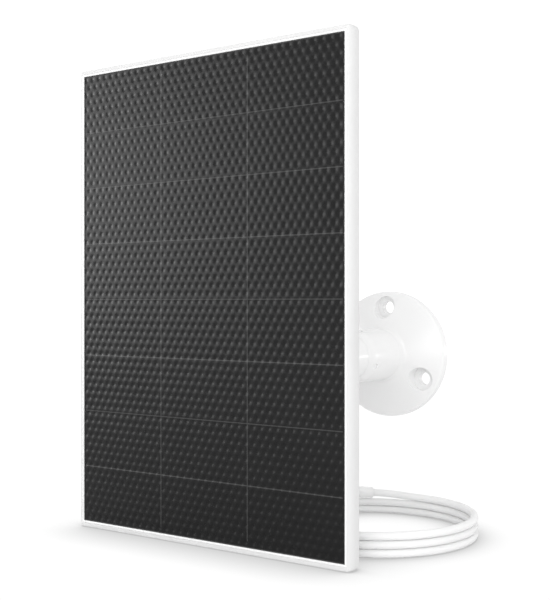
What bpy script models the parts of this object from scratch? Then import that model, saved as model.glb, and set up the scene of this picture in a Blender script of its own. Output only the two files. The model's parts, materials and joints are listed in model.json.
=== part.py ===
"""Small solar charging panel on a swivelling wall bracket, with its coiled lead.

The panel stands upright on its lower edge and faces -Y. The bracket reaches out behind it,
along +Y, to a round wall base. The lead comes out of the back of the panel and lies coiled on
the surface that the panel stands on. Metres, +Z up. The origin is on that surface, under the
middle of the panel and bracket.
"""
import math

import bmesh
import bpy
from mathutils import Matrix, Vector

MM = 0.001
FIT = 0.3 * MM                      # gap between pieces that touch

# ---- panel: depths are measured from the front face of the frame, towards the wall ----
PANEL_WIDTH = 126 * MM
PANEL_HEIGHT = 180 * MM
FRAME_DEPTH = 6 * MM
FRAME_CORNER = 1.9 * MM
FRAME_FRONT_ROUND = 1.8 * MM
FRAME_BACK_ROUND = 0.8 * MM
BEZEL = 2.5 * MM                    # white margin round the dark area
LEDGE_INSET = 11 * MM               # inner edge of the ledge that the laminate lies on
LEDGE_FRONT = 3.6 * MM
SMALLEST_CORNER = 0.4 * MM

FILM_FRONT = 0.5 * MM
FILM_THICKNESS = 0.6 * MM
CELL_COLUMNS = 3
CELL_ROWS = 8
CELL_PITCH_X = (PANEL_WIDTH - 2 * BEZEL) / CELL_COLUMNS
CELL_PITCH_Z = 21.8 * MM
CELL_GAP = 0.9 * MM
CELL_THICKNESS = 0.3 * MM
CELL_DROP = 0.4 * MM                # the cells lie a little low in the frame
CELL_FRONT = FILM_FRONT + FILM_THICKNESS + FIT
BOARD_FRONT = CELL_FRONT + CELL_THICKNESS + FIT
BOARD_THICKNESS = 0.6 * MM
GASKET_FRONT = BOARD_FRONT + BOARD_THICKNESS + FIT
GASKET_INNER_INSET = 7 * MM

# ---- back cover, with a raised pod that holds the electronics and the bracket's boss ----
COVER_FRONT = FRAME_DEPTH + FIT
COVER_INSET = 1.4 * MM
COVER_THICKNESS = 1.7 * MM
COVER_BACK = COVER_FRONT + COVER_THICKNESS
POD_WIDTH = 66 * MM
POD_HEIGHT = 80 * MM
POD_CENTRE_Z = 76 * MM
POD_CORNER = 9 * MM
POD_BACK = 15.5 * MM
POD_WALL = 1.8 * MM
BOSS_RADIUS = 15 * MM
BOSS_BACK = 18 * MM
COLUMN_RADIUS = 7.5 * MM
SCREW_INSET = 7.5 * MM
SCREW_HOLE_RADIUS = 1.0 * MM
SCREW_PASS_RADIUS = 1.4 * MM
SCREW_HEAD_RADIUS = 2.3 * MM
SCREW_RADIUS = 0.7 * MM
SCREW_SEAT_DEPTH = 0.9 * MM

# ---- charge regulator, on its board in the upper half of the pod ----
REGULATOR_BOARD = (46 * MM, 1.2 * MM, 24 * MM)
REGULATOR_DEPTH = 8.1 * MM          # middle of the board
REGULATOR_Z = 98 * MM
CAPACITOR_RADIUS = 3.1 * MM
CAPACITOR_HEIGHT = 2.6 * MM
CAPACITOR_PLACE = (13 * MM, 3 * MM)
# Each component's width, thickness and height, and where it sits from the board's middle, in mm.
COMPONENTS = (("regulator_inductor", (7.5, 2.6, 7.5), (-12, 5)),
              ("regulator_chip", (5.0, 1.2, 5.0), (0, 4)),
              ("output_terminal", (8.0, 2.6, 5.5), (-14, -7)),
              ("blocking_diode", (4.6, 1.6, 2.8), (1, -6)))

# ---- bracket: its straight axis runs along +Y, and its own lengths start at the ball ----
AXIS_Z = 64.5 * MM
BALL_DEPTH = 41.5 * MM              # ball centre, behind the front face of the frame
BALL_RADIUS = 10 * MM
STUD_RADIUS = 3.0 * MM
STUD_TIP = 7.5 * MM                 # depth of the shank's end in the pod
STUD_COLLAR_RADIUS = 5.2 * MM
STUD_COLLAR_LENGTH = 1.8 * MM
INSERT_RADIUS = 4.6 * MM
NUT_RADIUS = 7.6 * MM               # to its corners
NUT_THICKNESS = 4 * MM
SEAT_INNER = BALL_RADIUS + FIT
SEAT_OUTER = SEAT_INNER + 1.6 * MM
CUP_RADIUS = SEAT_OUTER + FIT
SEAT_RIM = 35                       # degrees up from the ball's equator, towards the arm
SEAT_HOLE = 78
SOCKET_RADIUS = 14.6 * MM
SOCKET_MOUTH = -1.2 * MM
SOCKET_TAIL_END = 28 * MM
COLLAR_RADIUS = 17.4 * MM
COLLAR_FRONT = -6.6 * MM
COLLAR_BACK = 9 * MM
COLLAR_EDGE = 0.8 * MM
COLLAR_MOUTH_RADIUS = 11.7 * MM
LIP_ANGLES = (80, 72.5, 65)         # degrees from the way the stud points
GRIPS = 12
GRIP_RADIUS = 2.2 * MM
ARM_RADIUS = 10.3 * MM
ARM_WALL = 2.3 * MM
ARM_START = 18.3 * MM
ARM_END = 82.5 * MM
ARM_PLUG_LENGTH = 14 * MM
ARM_PLUG_BORE = 2.0 * MM
RING_START = 70.5 * MM              # groove for the friction ring in the arm
RING_WIDTH = 3 * MM
RING_INNER = 9.5 * MM

BASE_RADIUS = 29 * MM
BASE_BACK = 98.2 * MM
BASE_RIM = 4.4 * MM
BASE_CONE = 6.7 * MM
HUB_RADIUS = 11.8 * MM
HUB_BORE = ARM_RADIUS + FIT
HUB_FRONT = 59.5 * MM
HUB_FLOOR = ARM_END + 0.5 * MM
POCKET_FLOOR = 88.5 * MM
POCKET_RADIUS = 8.5 * MM
PIVOT_HOLE = 2.2 * MM
PIVOT_SCREW_RADIUS = 1.6 * MM
PIVOT_SCREW_LENGTH = 11 * MM        # inside the arm
PIVOT_HEAD_RADIUS = 3.9 * MM
WASHER_RADIUS = 6.0 * MM
WASHER_BORE = 2.0 * MM
WASHER_THICKNESS = 1.0 * MM
WALL_SCREW_CIRCLE = 21.7 * MM
WALL_SCREW_HOLE = 2.9 * MM
WALL_SCREW_SEAT = 5.25 * MM
WALL_SCREW_FLOOR = BASE_BACK - 3.2 * MM
WALL_SCREW_ANGLES = (90, 210, 330)
NOTCH_ANGLES = (-20, 70, 160, 250)
NOTCH_WIDTH = 2.3 * MM
NOTCH_LENGTH = 6 * MM
NOTCH_DEPTH = 0.5 * MM

DEPTH = BALL_DEPTH + BASE_BACK      # front of the panel to the wall
Y_FRONT = -DEPTH / 2
Y_BALL = Y_FRONT + BALL_DEPTH

# ---- lead ----
CORD_RADIUS = 1.5 * MM
EXIT_X = -20 * MM
EXIT_DEPTH = 12 * MM
POD_BOTTOM = POD_CENTRE_Z - POD_HEIGHT / 2
BOOT_TOP = POD_BOTTOM - 3.0 * MM
BOOT_LENGTH = 11 * MM
BUSH_RADIUS = 2.3 * MM
BUSH_FLANGE_RADIUS = 3.3 * MM
COIL_X = 37.5 * MM
COIL_DEPTH = 56 * MM
COIL_RADIUS = 39.3 * MM             # middle of the turns
COIL_START = 200                    # degrees, counter-clockwise from +X, seen from above
COIL_CLIMB = 165                    # where the lowest turn starts to climb
COIL_END = 116                      # where the top turn ends at the plug
CORD_LAYER = 2 * CORD_RADIUS
PLUG_ANGLE = 119                    # where the plug's boot starts, on the circle of the turns
PLUG_HEADING = 224
PLUG_START_Z = 8.4 * MM
PLUG_RISE = 3.5                     # degrees
PLUG_BOOT_LENGTH = 9 * MM
PLUG_BODY_LENGTH = 21 * MM
PLUG_SHELL_LENGTH = 6.5 * MM
PLUG_WIDTH = 10.6 * MM
PLUG_THICKNESS = 5.8 * MM
SHELL_WIDTH = 8.3 * MM
SHELL_THICKNESS = 2.6 * MM
SHELL_WALL = 0.35 * MM
TONGUE = (6.2 * MM, 0.6 * MM, 4 * MM)

# The lead's route from the boot to the first turn: x, depth behind the frame's front, z.
LEAD_ROUTE = [(x * MM, depth * MM, z * MM) for x, depth, z in (
    (-20.0, 12.0, 22.0), (-20.0, 12.0, 19.4), (-20.1, 12.3, 16.2), (-20.3, 13.2, 12.6),
    (-20.6, 15.0, 9.0), (-21.1, 18.0, 5.8), (-21.8, 22.0, 3.3), (-22.7, 26.7, 1.9),
    (-23.8, 31.9, 1.5), (-24.8, 37.5, 1.5), (-25.0, 43.2, 1.5), (-23.8, 48.8, 1.5),
    (-20.6, 53.6, 1.5), (-15.9, 56.6, 1.5), (-10.5, 56.9, 1.5), (-5.4, 54.2, 1.5),
    (-2.0, 49.4, 1.5))]

FACE_BACK = (-math.pi / 2, 0, 0)    # turns a piece's own +Z to world +Y
FACE_DOWN = (math.pi, 0, 0)


# ------------------------------------------------------------------ scene and materials
def clear_scene():
    for old in list(bpy.data.objects):
        bpy.data.objects.remove(old, do_unlink=True)


def make_material(name, colour, roughness, metallic=0.0):
    made = bpy.data.materials.new(name)
    made.use_nodes = True
    shader = made.node_tree.nodes["Principled BSDF"]
    shader.inputs["Base Color"].default_value = (*colour, 1.0)
    shader.inputs["Roughness"].default_value = roughness
    shader.inputs["Metallic"].default_value = metallic
    made.diffuse_color = (*colour, 1.0)
    return made


def make_materials():
    return {
        "white_shell": make_material("white_shell", (0.88, 0.88, 0.88), 0.35),
        "white_bracket": make_material("white_bracket", (0.90, 0.90, 0.90), 0.22),
        "black_film": make_material("black_film", (0.035, 0.035, 0.036), 0.40),
        "solar_cell": make_material("solar_cell", (0.015, 0.015, 0.020), 0.30),
        "backsheet": make_material("backsheet", (0.75, 0.75, 0.72), 0.60),
        "circuit_board": make_material("circuit_board", (0.02, 0.16, 0.07), 0.45),
        "dark_component": make_material("dark_component", (0.03, 0.03, 0.03), 0.50),
        "brass": make_material("brass", (0.72, 0.52, 0.20), 0.30, 1.0),
        "steel": make_material("steel", (0.60, 0.60, 0.60), 0.30, 1.0),
        "black_rubber": make_material("black_rubber", (0.03, 0.03, 0.03), 0.80),
        "grey_nylon": make_material("grey_nylon", (0.45, 0.45, 0.45), 0.55),
        "white_cord": make_material("white_cord", (0.86, 0.86, 0.86), 0.45),
    }


def make_empty(name, location, rotation=(0, 0, 0)):
    empty = bpy.data.objects.new(name, None)
    empty.location = location
    empty.rotation_euler = rotation
    bpy.context.scene.collection.objects.link(empty)
    return empty


# ------------------------------------------------------------------ shape helpers
def add_object(name, bm, material, parent=None, location=(0, 0, 0), rotation=(0, 0, 0)):
    """Closes the bmesh into a named object, shaded smooth between its sharp edges."""
    bmesh.ops.recalc_face_normals(bm, faces=bm.faces)
    mesh = bpy.data.meshes.new(name)
    bm.to_mesh(mesh)
    bm.free()
    mesh.shade_smooth()
    mesh.set_sharp_from_angle(angle=math.radians(35))
    return place(name, mesh, material, parent, location, rotation)


def place(name, mesh, material, parent=None, location=(0, 0, 0), rotation=(0, 0, 0)):
    if material is not None and not mesh.materials:
        mesh.materials.append(material)
    obj = bpy.data.objects.new(name, mesh)
    obj.parent = parent
    obj.location = location
    obj.rotation_euler = rotation
    bpy.context.scene.collection.objects.link(obj)
    return obj


def as_tool(obj):
    """Marks a cutter or a piece that is only there to be merged into another."""
    obj.hide_render = True
    obj.display_type = "WIRE"
    return obj


def combine(obj, tool, operation):
    modifier = obj.modifiers.new(f"{operation.lower()}_{tool.name}", "BOOLEAN")
    modifier.operation = operation
    modifier.solver = "EXACT"
    modifier.object = as_tool(tool)


def cut(obj, *tools):
    for tool in tools:
        combine(obj, tool, "DIFFERENCE")


def merge(obj, *tools):
    for tool in tools:
        combine(obj, tool, "UNION")


def skin(loops, ring=False):
    """Joins loops of equal length with quads. A ring closes on itself, else the ends are capped."""
    bm = bmesh.new()
    rows = [[bm.verts.new(point) for point in loop] for loop in loops]
    count = len(rows[0])
    last = len(rows) if ring else len(rows) - 1
    for i in range(last):
        here, there = rows[i], rows[(i + 1) % len(rows)]
        for j in range(count):
            k = (j + 1) % count
            bm.faces.new((here[j], here[k], there[k], there[j]))
    if not ring:
        bm.faces.new(rows[0])
        bm.faces.new(reversed(rows[-1]))
    return bm


def rounded_loop(half_x, half_y, corner, z, steps=6):
    """One rounded rectangle at height z, counter-clockwise."""
    centres = ((half_x - corner, half_y - corner, 0), (corner - half_x, half_y - corner, 90),
               (corner - half_x, corner - half_y, 180), (half_x - corner, corner - half_y, 270))
    loop = []
    for x, y, start in centres:
        for step in range(steps + 1):
            angle = math.radians(start + 90 * step / steps)
            loop.append((x + corner * math.cos(angle), y + corner * math.sin(angle), z))
    return loop


def turned(profile, steps=36):
    """Spins a closed outline of (radius, height) about Z. Points on the axis become one."""
    bm = bmesh.new()
    verts = [bm.verts.new((radius, 0, height)) for radius, height in profile]
    edges = [bm.edges.new((verts[i], verts[(i + 1) % len(verts)])) for i in range(len(verts))
             if profile[i][0] > 0 or profile[(i + 1) % len(profile)][0] > 0]
    bmesh.ops.spin(bm, geom=verts + edges, cent=(0, 0, 0), axis=(0, 0, 1), angle=2 * math.pi,
                   steps=steps, use_merge=True)
    bmesh.ops.remove_doubles(bm, verts=bm.verts, dist=1e-7)
    return bm


def arc(radius, start, end, steps):
    """Points of an arc round the ball centre, as (radius, height), degrees up from its equator."""
    angles = [math.radians(start + (end - start) * i / steps) for i in range(steps + 1)]
    return [(radius * math.cos(angle), radius * math.sin(angle)) for angle in angles]


def tube_profile(inner, outer, low, high, chamfer=0.0):
    """Outline of a plain ring, with its outer edges chamfered."""
    if chamfer == 0.0:
        return [(inner, low), (outer, low), (outer, high), (inner, high)]
    return [(inner, low), (outer - chamfer, low), (outer, low + chamfer),
            (outer, high - chamfer), (outer - chamfer, high), (inner, high)]


def rod_profile(radius, low, high, chamfer=0.0):
    """Outline of a solid round bar on the axis."""
    return tube_profile(0.0, radius, low, high, chamfer)


def box(name, size, centre, material, parent=None):
    bm = bmesh.new()
    bmesh.ops.create_cube(bm, size=1.0, matrix=Matrix.Diagonal((*size, 1.0)))
    return add_object(name, bm, material, parent, centre)


def quarter(radius, steps):
    """Insets and depths of a rounded edge, from the face to the side."""
    angles = [math.radians(90 * i / steps) for i in range(steps + 1)]
    return [(radius * (1 - math.sin(angle)), radius * (1 - math.cos(angle))) for angle in angles]


def cylinder_tool(name, radius, low, high, parent, at=(0, 0), steps=24):
    bm = turned(rod_profile(radius, low, high), steps)
    return as_tool(add_object(name, bm, None, parent, (at[0], at[1], 0)))


# ------------------------------------------------------------------ panel
def panel_loop(inset, depth, corner=FRAME_CORNER):
    """The panel's outline, drawn in by an inset, at a depth behind the frame's front."""
    return rounded_loop(PANEL_WIDTH / 2 - inset, PANEL_HEIGHT / 2 - inset,
                        max(corner - inset, SMALLEST_CORNER), depth)


def panel_slab(name, inset, front, thickness, material, parent):
    loops = [panel_loop(inset, front), panel_loop(inset, front + thickness)]
    return add_object(name, skin(loops), material, parent)


def screw_places():
    """Where the cover screws stand, from the middle of the panel."""
    x = PANEL_WIDTH / 2 - SCREW_INSET
    y = PANEL_HEIGHT / 2 - SCREW_INSET
    return ((-x, -y), (x, -y), (x, y), (-x, y))


def make_front_frame(materials, panel):
    outer = quarter(FRAME_FRONT_ROUND, 4)
    back = [(inset, FRAME_DEPTH - depth) for inset, depth in quarter(FRAME_BACK_ROUND, 2)][::-1]
    inner = [(LEDGE_INSET, FRAME_DEPTH), (LEDGE_INSET, LEDGE_FRONT), (BEZEL, LEDGE_FRONT), (BEZEL, 0.0)]
    loops = [panel_loop(inset, depth) for inset, depth in outer + back + inner]
    frame = add_object("front_frame", skin(loops, ring=True), materials["white_shell"], panel)
    for number, at in enumerate(screw_places(), 1):
        cut(frame, cylinder_tool(f"frame_hole_{number}", SCREW_HOLE_RADIUS, LEDGE_FRONT - 1 * MM,
                                 FRAME_DEPTH + 1 * MM, panel, at, 12))


def make_laminate(materials, panel):
    film = materials["black_film"]
    panel_slab("embossed_film", BEZEL + FIT, FILM_FRONT, FILM_THICKNESS, film, panel)
    cell_size = (CELL_PITCH_X - CELL_GAP, CELL_PITCH_Z - CELL_GAP, CELL_THICKNESS)
    cell_mesh = None
    for row in range(CELL_ROWS):
        for column in range(CELL_COLUMNS):
            name = f"solar_cell_r{row + 1}_c{column + 1}"
            centre = ((column - (CELL_COLUMNS - 1) / 2) * CELL_PITCH_X,
                      (row - (CELL_ROWS - 1) / 2) * CELL_PITCH_Z + CELL_DROP,
                      CELL_FRONT + CELL_THICKNESS / 2)
            if cell_mesh is None:
                cell_mesh = box(name, cell_size, centre, materials["solar_cell"], panel).data
            else:
                place(name, cell_mesh, None, panel, centre)
    board = materials["backsheet"]
    panel_slab("backsheet_board", BEZEL + 2 * FIT, BOARD_FRONT, BOARD_THICKNESS, board, panel)
    outline = tube_profile(GASKET_INNER_INSET, BEZEL + 2 * FIT, GASKET_FRONT, LEDGE_FRONT - FIT)
    gasket = skin([panel_loop(inset, depth) for inset, depth in outline], ring=True)
    add_object("frame_gasket", gasket, materials["black_rubber"], panel)


def pod_loop(inset, depth):
    corner = max(POD_CORNER - inset, SMALLEST_CORNER)
    return rounded_loop(POD_WIDTH / 2 - inset, POD_HEIGHT / 2 - inset, corner, depth)


def make_back_cover(materials, panel, pod, axis):
    edge = 0.9 * MM
    plate = [panel_loop(COVER_INSET, COVER_FRONT), panel_loop(COVER_INSET, COVER_BACK - edge),
             panel_loop(COVER_INSET + 0.3 * edge, COVER_BACK - 0.3 * edge),
             panel_loop(COVER_INSET + edge, COVER_BACK)]
    cover = add_object("back_cover", skin(plate), materials["white_shell"], panel)
    slope = 2 * MM
    bulge = [pod_loop(-slope, COVER_BACK - 0.5 * MM), pod_loop(-0.6 * slope, COVER_BACK + 0.4 * MM),
             pod_loop(0.0, COVER_BACK + 2.4 * MM), pod_loop(0.4 * slope, POD_BACK - 1.2 * MM),
             pod_loop(0.8 * slope, POD_BACK - 0.35 * MM), pod_loop(1.4 * slope, POD_BACK)]
    cavity = [pod_loop(POD_WALL, COVER_FRONT - 1 * MM),
              pod_loop(POD_WALL + 0.4 * slope, POD_BACK - POD_WALL)]
    boss = turned(rod_profile(BOSS_RADIUS, POD_BACK - 1 * MM, BOSS_BACK, 0.8 * MM), 36)
    column = turned(rod_profile(COLUMN_RADIUS, COVER_FRONT + 0.5 * MM, POD_BACK - 0.6 * MM), 24)
    merge(cover, add_object("pod_bulge", skin(bulge), None, pod))
    merge(cover, add_object("pod_boss", boss, None, axis, (0, 0, -BALL_DEPTH)))
    cut(cover, add_object("pod_cavity", skin(cavity), None, pod))
    merge(cover, add_object("pod_column", column, None, axis, (0, 0, -BALL_DEPTH)))
    bore = turned(rod_profile(INSERT_RADIUS + FIT, COVER_FRONT - 1 * MM, BOSS_BACK + 1 * MM), 24)
    cut(cover, add_object("insert_bore", bore, None, axis, (0, 0, -BALL_DEPTH)))
    for number, at in enumerate(screw_places(), 1):
        cut(cover, cylinder_tool(f"cover_hole_{number}", SCREW_PASS_RADIUS, COVER_FRONT - 1 * MM,
                                 COVER_BACK + 1 * MM, panel, at, 12))
        cut(cover, cylinder_tool(f"cover_seat_{number}", SCREW_HEAD_RADIUS + FIT,
                                 COVER_BACK - SCREW_SEAT_DEPTH, COVER_BACK + 1 * MM, panel, at, 16))
    outlet = turned(rod_profile(BUSH_RADIUS + FIT, -6 * MM, 6 * MM), 16)
    outlet_place = (EXIT_X, Y_FRONT + EXIT_DEPTH, POD_BOTTOM)
    cut(cover, add_object("cord_outlet", outlet, None, None, outlet_place))


def make_cover_screws(materials, panel):
    tip = LEDGE_FRONT + FIT
    head_low = COVER_BACK - SCREW_SEAT_DEPTH + FIT
    outline = [(0, tip), (SCREW_RADIUS - 0.2 * MM, tip), (SCREW_RADIUS, tip + 0.3 * MM),
               (SCREW_RADIUS, head_low), (SCREW_HEAD_RADIUS, head_low),
               (SCREW_HEAD_RADIUS, head_low + 0.6 * MM), (0.75 * SCREW_HEAD_RADIUS, head_low + 1.0 * MM),
               (0, head_low + 1.15 * MM)]
    mesh = None
    for number, (x, y) in enumerate(screw_places(), 1):
        name = f"cover_screw_{number}"
        if mesh is None:
            mesh = add_object(name, turned(outline, 16), materials["steel"], panel, (x, y, 0)).data
        else:
            place(name, mesh, None, panel, (x, y, 0))


def make_electronics(materials):
    """The charge regulator's board and the components on its back."""
    board_back = REGULATOR_BOARD[1] / 2 + FIT
    middle_y = Y_FRONT + REGULATOR_DEPTH
    box("regulator_board", REGULATOR_BOARD, (0, middle_y, REGULATOR_Z), materials["circuit_board"])
    for name, (width, thickness, tall), (x, z) in COMPONENTS:
        centre = (x * MM, middle_y + board_back + thickness * MM / 2, REGULATOR_Z + z * MM)
        box(name, (width * MM, thickness * MM, tall * MM), centre, materials["dark_component"])
    capacitor = turned(rod_profile(CAPACITOR_RADIUS, 0, CAPACITOR_HEIGHT, 0.3 * MM), 20)
    x, z = CAPACITOR_PLACE
    add_object("output_capacitor", capacitor, materials["steel"], None,
               (x, middle_y + board_back, REGULATOR_Z + z), FACE_BACK)


# ------------------------------------------------------------------ bracket
def make_mount_insert(materials, axis):
    outline = tube_profile(STUD_RADIUS + FIT, INSERT_RADIUS, COVER_FRONT, BOSS_BACK - 0.2 * MM, 0.4 * MM)
    add_object("threaded_insert", turned(outline, 24), materials["brass"], axis, (0, 0, -BALL_DEPTH))


def make_lock_nut(materials, axis):
    low = BOSS_BACK + FIT - BALL_DEPTH
    high = low + NUT_THICKNESS
    flats = 6
    corners = [math.tau * i / flats for i in range(flats)]
    loops = [[(NUT_RADIUS * math.cos(turn), NUT_RADIUS * math.sin(turn), z) for turn in corners]
             for z in (low, high)]
    nut = add_object("stud_lock_nut", skin(loops), materials["steel"], axis)
    cut(nut, cylinder_tool("nut_thread", STUD_RADIUS + FIT, low - 1 * MM, high + 1 * MM, axis, steps=24))


def make_ball_stud(materials, axis):
    """Threaded shank, spanner collar, neck and ball, turned from one bar."""
    neck_angle = math.degrees(math.asin(STUD_RADIUS / BALL_RADIUS))
    tip = STUD_TIP - BALL_DEPTH
    tip_chamfer, neck_chamfer = 0.6 * MM, 0.4 * MM
    collar_low = BOSS_BACK + NUT_THICKNESS + 3 * FIT - BALL_DEPTH
    collar_high = collar_low + STUD_COLLAR_LENGTH
    ball = arc(BALL_RADIUS, -(90 - neck_angle), 90, 9)
    outline = [(0, tip), (STUD_RADIUS - tip_chamfer, tip), (STUD_RADIUS, tip + tip_chamfer),
               (STUD_RADIUS, collar_low), (STUD_COLLAR_RADIUS, collar_low),
               (STUD_COLLAR_RADIUS, collar_high), (STUD_RADIUS, collar_high + neck_chamfer)]
    add_object("ball_stud", turned(outline + ball[:-1] + [(0, BALL_RADIUS)], 24), materials["steel"], axis)


def make_ball_seat(materials, axis):
    """Cup behind the ball, between it and the socket."""
    outline = arc(SEAT_INNER, SEAT_RIM, SEAT_HOLE, 4) + arc(SEAT_OUTER, SEAT_HOLE, SEAT_RIM, 4)
    add_object("ball_seat", turned(outline, 24), materials["grey_nylon"], axis)


def make_socket(materials, axis):
    """Cup for the seat, a shoulder that curves in to the arm, and a tail that plugs into the arm."""
    cup = arc(CUP_RADIUS, 0, 90, 6)
    shoulder = [(SOCKET_RADIUS, 8.2 * MM), (14.2 * MM, 10.4 * MM), (13.1 * MM, 12.9 * MM),
                (11.6 * MM, 15.2 * MM), (ARM_RADIUS, 16.8 * MM)]
    tail = ARM_RADIUS - ARM_WALL - FIT
    tail_chamfer = 0.5 * MM
    outline = ([(CUP_RADIUS, SOCKET_MOUTH)] + cup[:-1] + [(0, CUP_RADIUS), (0, SOCKET_TAIL_END)]
               + [(tail - tail_chamfer, SOCKET_TAIL_END), (tail, SOCKET_TAIL_END - tail_chamfer)]
               + [(tail, ARM_START - FIT), (ARM_RADIUS, ARM_START - FIT)]
               + shoulder[::-1] + [(SOCKET_RADIUS, SOCKET_MOUTH)])
    add_object("ball_socket", turned(outline, 32), materials["white_bracket"], axis)


def make_clamp_collar(materials, axis):
    """Screws down over the socket, and its lip holds the ball in from the front."""
    lip = [(SEAT_INNER * math.sin(math.radians(a)), -SEAT_INNER * math.cos(math.radians(a)))
           for a in LIP_ANGLES]
    step = SOCKET_MOUTH - FIT
    outline = lip + [(COLLAR_MOUTH_RADIUS, COLLAR_FRONT), (COLLAR_RADIUS - 2.2 * MM, COLLAR_FRONT),
                     (COLLAR_RADIUS - 0.8 * MM, COLLAR_FRONT + 1.0 * MM),
                     (COLLAR_RADIUS, COLLAR_FRONT + 3.0 * MM), (COLLAR_RADIUS, COLLAR_BACK - COLLAR_EDGE),
                     (COLLAR_RADIUS - COLLAR_EDGE, COLLAR_BACK), (SOCKET_RADIUS + FIT, COLLAR_BACK),
                     (SOCKET_RADIUS + FIT, step), (SEAT_INNER + 0.6 * MM, step)]
    collar = add_object("clamp_collar", turned(outline, 36), materials["white_bracket"], axis)
    grip_circle = COLLAR_RADIUS + 1.5 * MM
    for number in range(GRIPS):
        angle = math.tau * number / GRIPS
        at = (grip_circle * math.cos(angle), grip_circle * math.sin(angle))
        cut(collar, cylinder_tool(f"grip_{number + 1}", GRIP_RADIUS, -2 * MM, COLLAR_BACK + 1 * MM,
                                  axis, at, 12))


def make_arm(materials, axis):
    inner = ARM_RADIUS - ARM_WALL
    groove = RING_INNER - FIT
    chamfer = 0.6 * MM
    outline = [(inner, ARM_START), (ARM_RADIUS, ARM_START), (ARM_RADIUS, RING_START - FIT),
               (groove, RING_START - FIT), (groove, RING_START + RING_WIDTH + FIT),
               (ARM_RADIUS, RING_START + RING_WIDTH + FIT), (ARM_RADIUS, ARM_END - chamfer),
               (ARM_RADIUS - chamfer, ARM_END), (inner, ARM_END)]
    add_object("arm_tube", turned(outline, 36), materials["white_bracket"], axis)
    ring = tube_profile(RING_INNER, ARM_RADIUS, RING_START, RING_START + RING_WIDTH)
    add_object("friction_ring", turned(ring, 36), materials["grey_nylon"], axis)
    plug = tube_profile(ARM_PLUG_BORE, inner - FIT, ARM_END - ARM_PLUG_LENGTH, ARM_END - FIT, 0.5 * MM)
    add_object("arm_end_plug", turned(plug, 28), materials["grey_nylon"], axis)


def make_swivel_screw(materials, axis):
    """Holds the arm in the wall base, and lets the base turn."""
    washer_low = POCKET_FLOOR + FIT
    washer_high = washer_low + WASHER_THICKNESS
    washer = turned(tube_profile(WASHER_BORE, WASHER_RADIUS, washer_low, washer_high), 28)
    add_object("swivel_washer", washer, materials["steel"], axis)
    tip = ARM_END - PIVOT_SCREW_LENGTH
    head_low = washer_high + FIT
    outline = [(0, tip), (PIVOT_SCREW_RADIUS - 0.5 * MM, tip), (PIVOT_SCREW_RADIUS, tip + 0.6 * MM),
               (PIVOT_SCREW_RADIUS, head_low), (PIVOT_HEAD_RADIUS, head_low),
               (PIVOT_HEAD_RADIUS, head_low + 1.2 * MM), (0.77 * PIVOT_HEAD_RADIUS, head_low + 2.2 * MM),
               (0, head_low + 2.6 * MM)]
    add_object("swivel_screw", turned(outline, 20), materials["steel"], axis)


def make_wall_base(materials, axis):
    """Hub that the arm turns in, a low cone and a rim, with sunk seats for the wall screws."""
    rim_front = BASE_BACK - BASE_RIM
    fillet = 1.6 * MM
    cone_slope = BASE_CONE / (BASE_RADIUS - HUB_RADIUS)
    cone_inner = (HUB_RADIUS + fillet, rim_front - BASE_CONE + fillet * cone_slope)
    outline = [(HUB_BORE, HUB_FRONT), (HUB_RADIUS - 0.5 * MM, HUB_FRONT),
               (HUB_RADIUS - 0.1 * MM, HUB_FRONT + 0.3 * MM),
               (HUB_RADIUS, HUB_FRONT + 0.8 * MM), (HUB_RADIUS, cone_inner[1] - fillet),
               (HUB_RADIUS + 0.35 * fillet, cone_inner[1] - 0.4 * fillet), cone_inner,
               (BASE_RADIUS - 1.2 * MM, rim_front - 1.2 * MM * cone_slope),
               (BASE_RADIUS - 0.3 * MM, rim_front + 0.15 * MM), (BASE_RADIUS, rim_front + 0.9 * MM),
               (BASE_RADIUS, BASE_BACK - 0.5 * MM), (BASE_RADIUS - 0.5 * MM, BASE_BACK),
               (POCKET_RADIUS, BASE_BACK), (POCKET_RADIUS, POCKET_FLOOR), (PIVOT_HOLE, POCKET_FLOOR),
               (PIVOT_HOLE, HUB_FLOOR), (HUB_BORE, HUB_FLOOR)]
    base = add_object("wall_base", turned(outline, 48), materials["white_bracket"], axis)
    for number, angle in enumerate(WALL_SCREW_ANGLES, 1):
        turn = math.radians(angle)
        at = (WALL_SCREW_CIRCLE * math.cos(turn), -WALL_SCREW_CIRCLE * math.sin(turn))
        cut(base, cylinder_tool(f"screw_seat_{number}", WALL_SCREW_SEAT, BASE_BACK - 20 * MM,
                                WALL_SCREW_FLOOR, axis, at, 28))
        cut(base, cylinder_tool(f"screw_hole_{number}", WALL_SCREW_HOLE, BASE_BACK - 10 * MM,
                                BASE_BACK + 2 * MM, axis, at, 24))
    reach = 2 * MM
    middle = HUB_RADIUS - NOTCH_DEPTH + reach
    for number, angle in enumerate(NOTCH_ANGLES, 1):
        turn = math.radians(angle)
        at = (middle * math.cos(turn), -middle * math.sin(turn), HUB_FRONT)
        notch = box(f"hub_notch_{number}", (2 * reach, NOTCH_WIDTH, 2 * NOTCH_LENGTH), at, None, axis)
        notch.rotation_euler = (0, 0, -turn)
        cut(base, notch)


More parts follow.
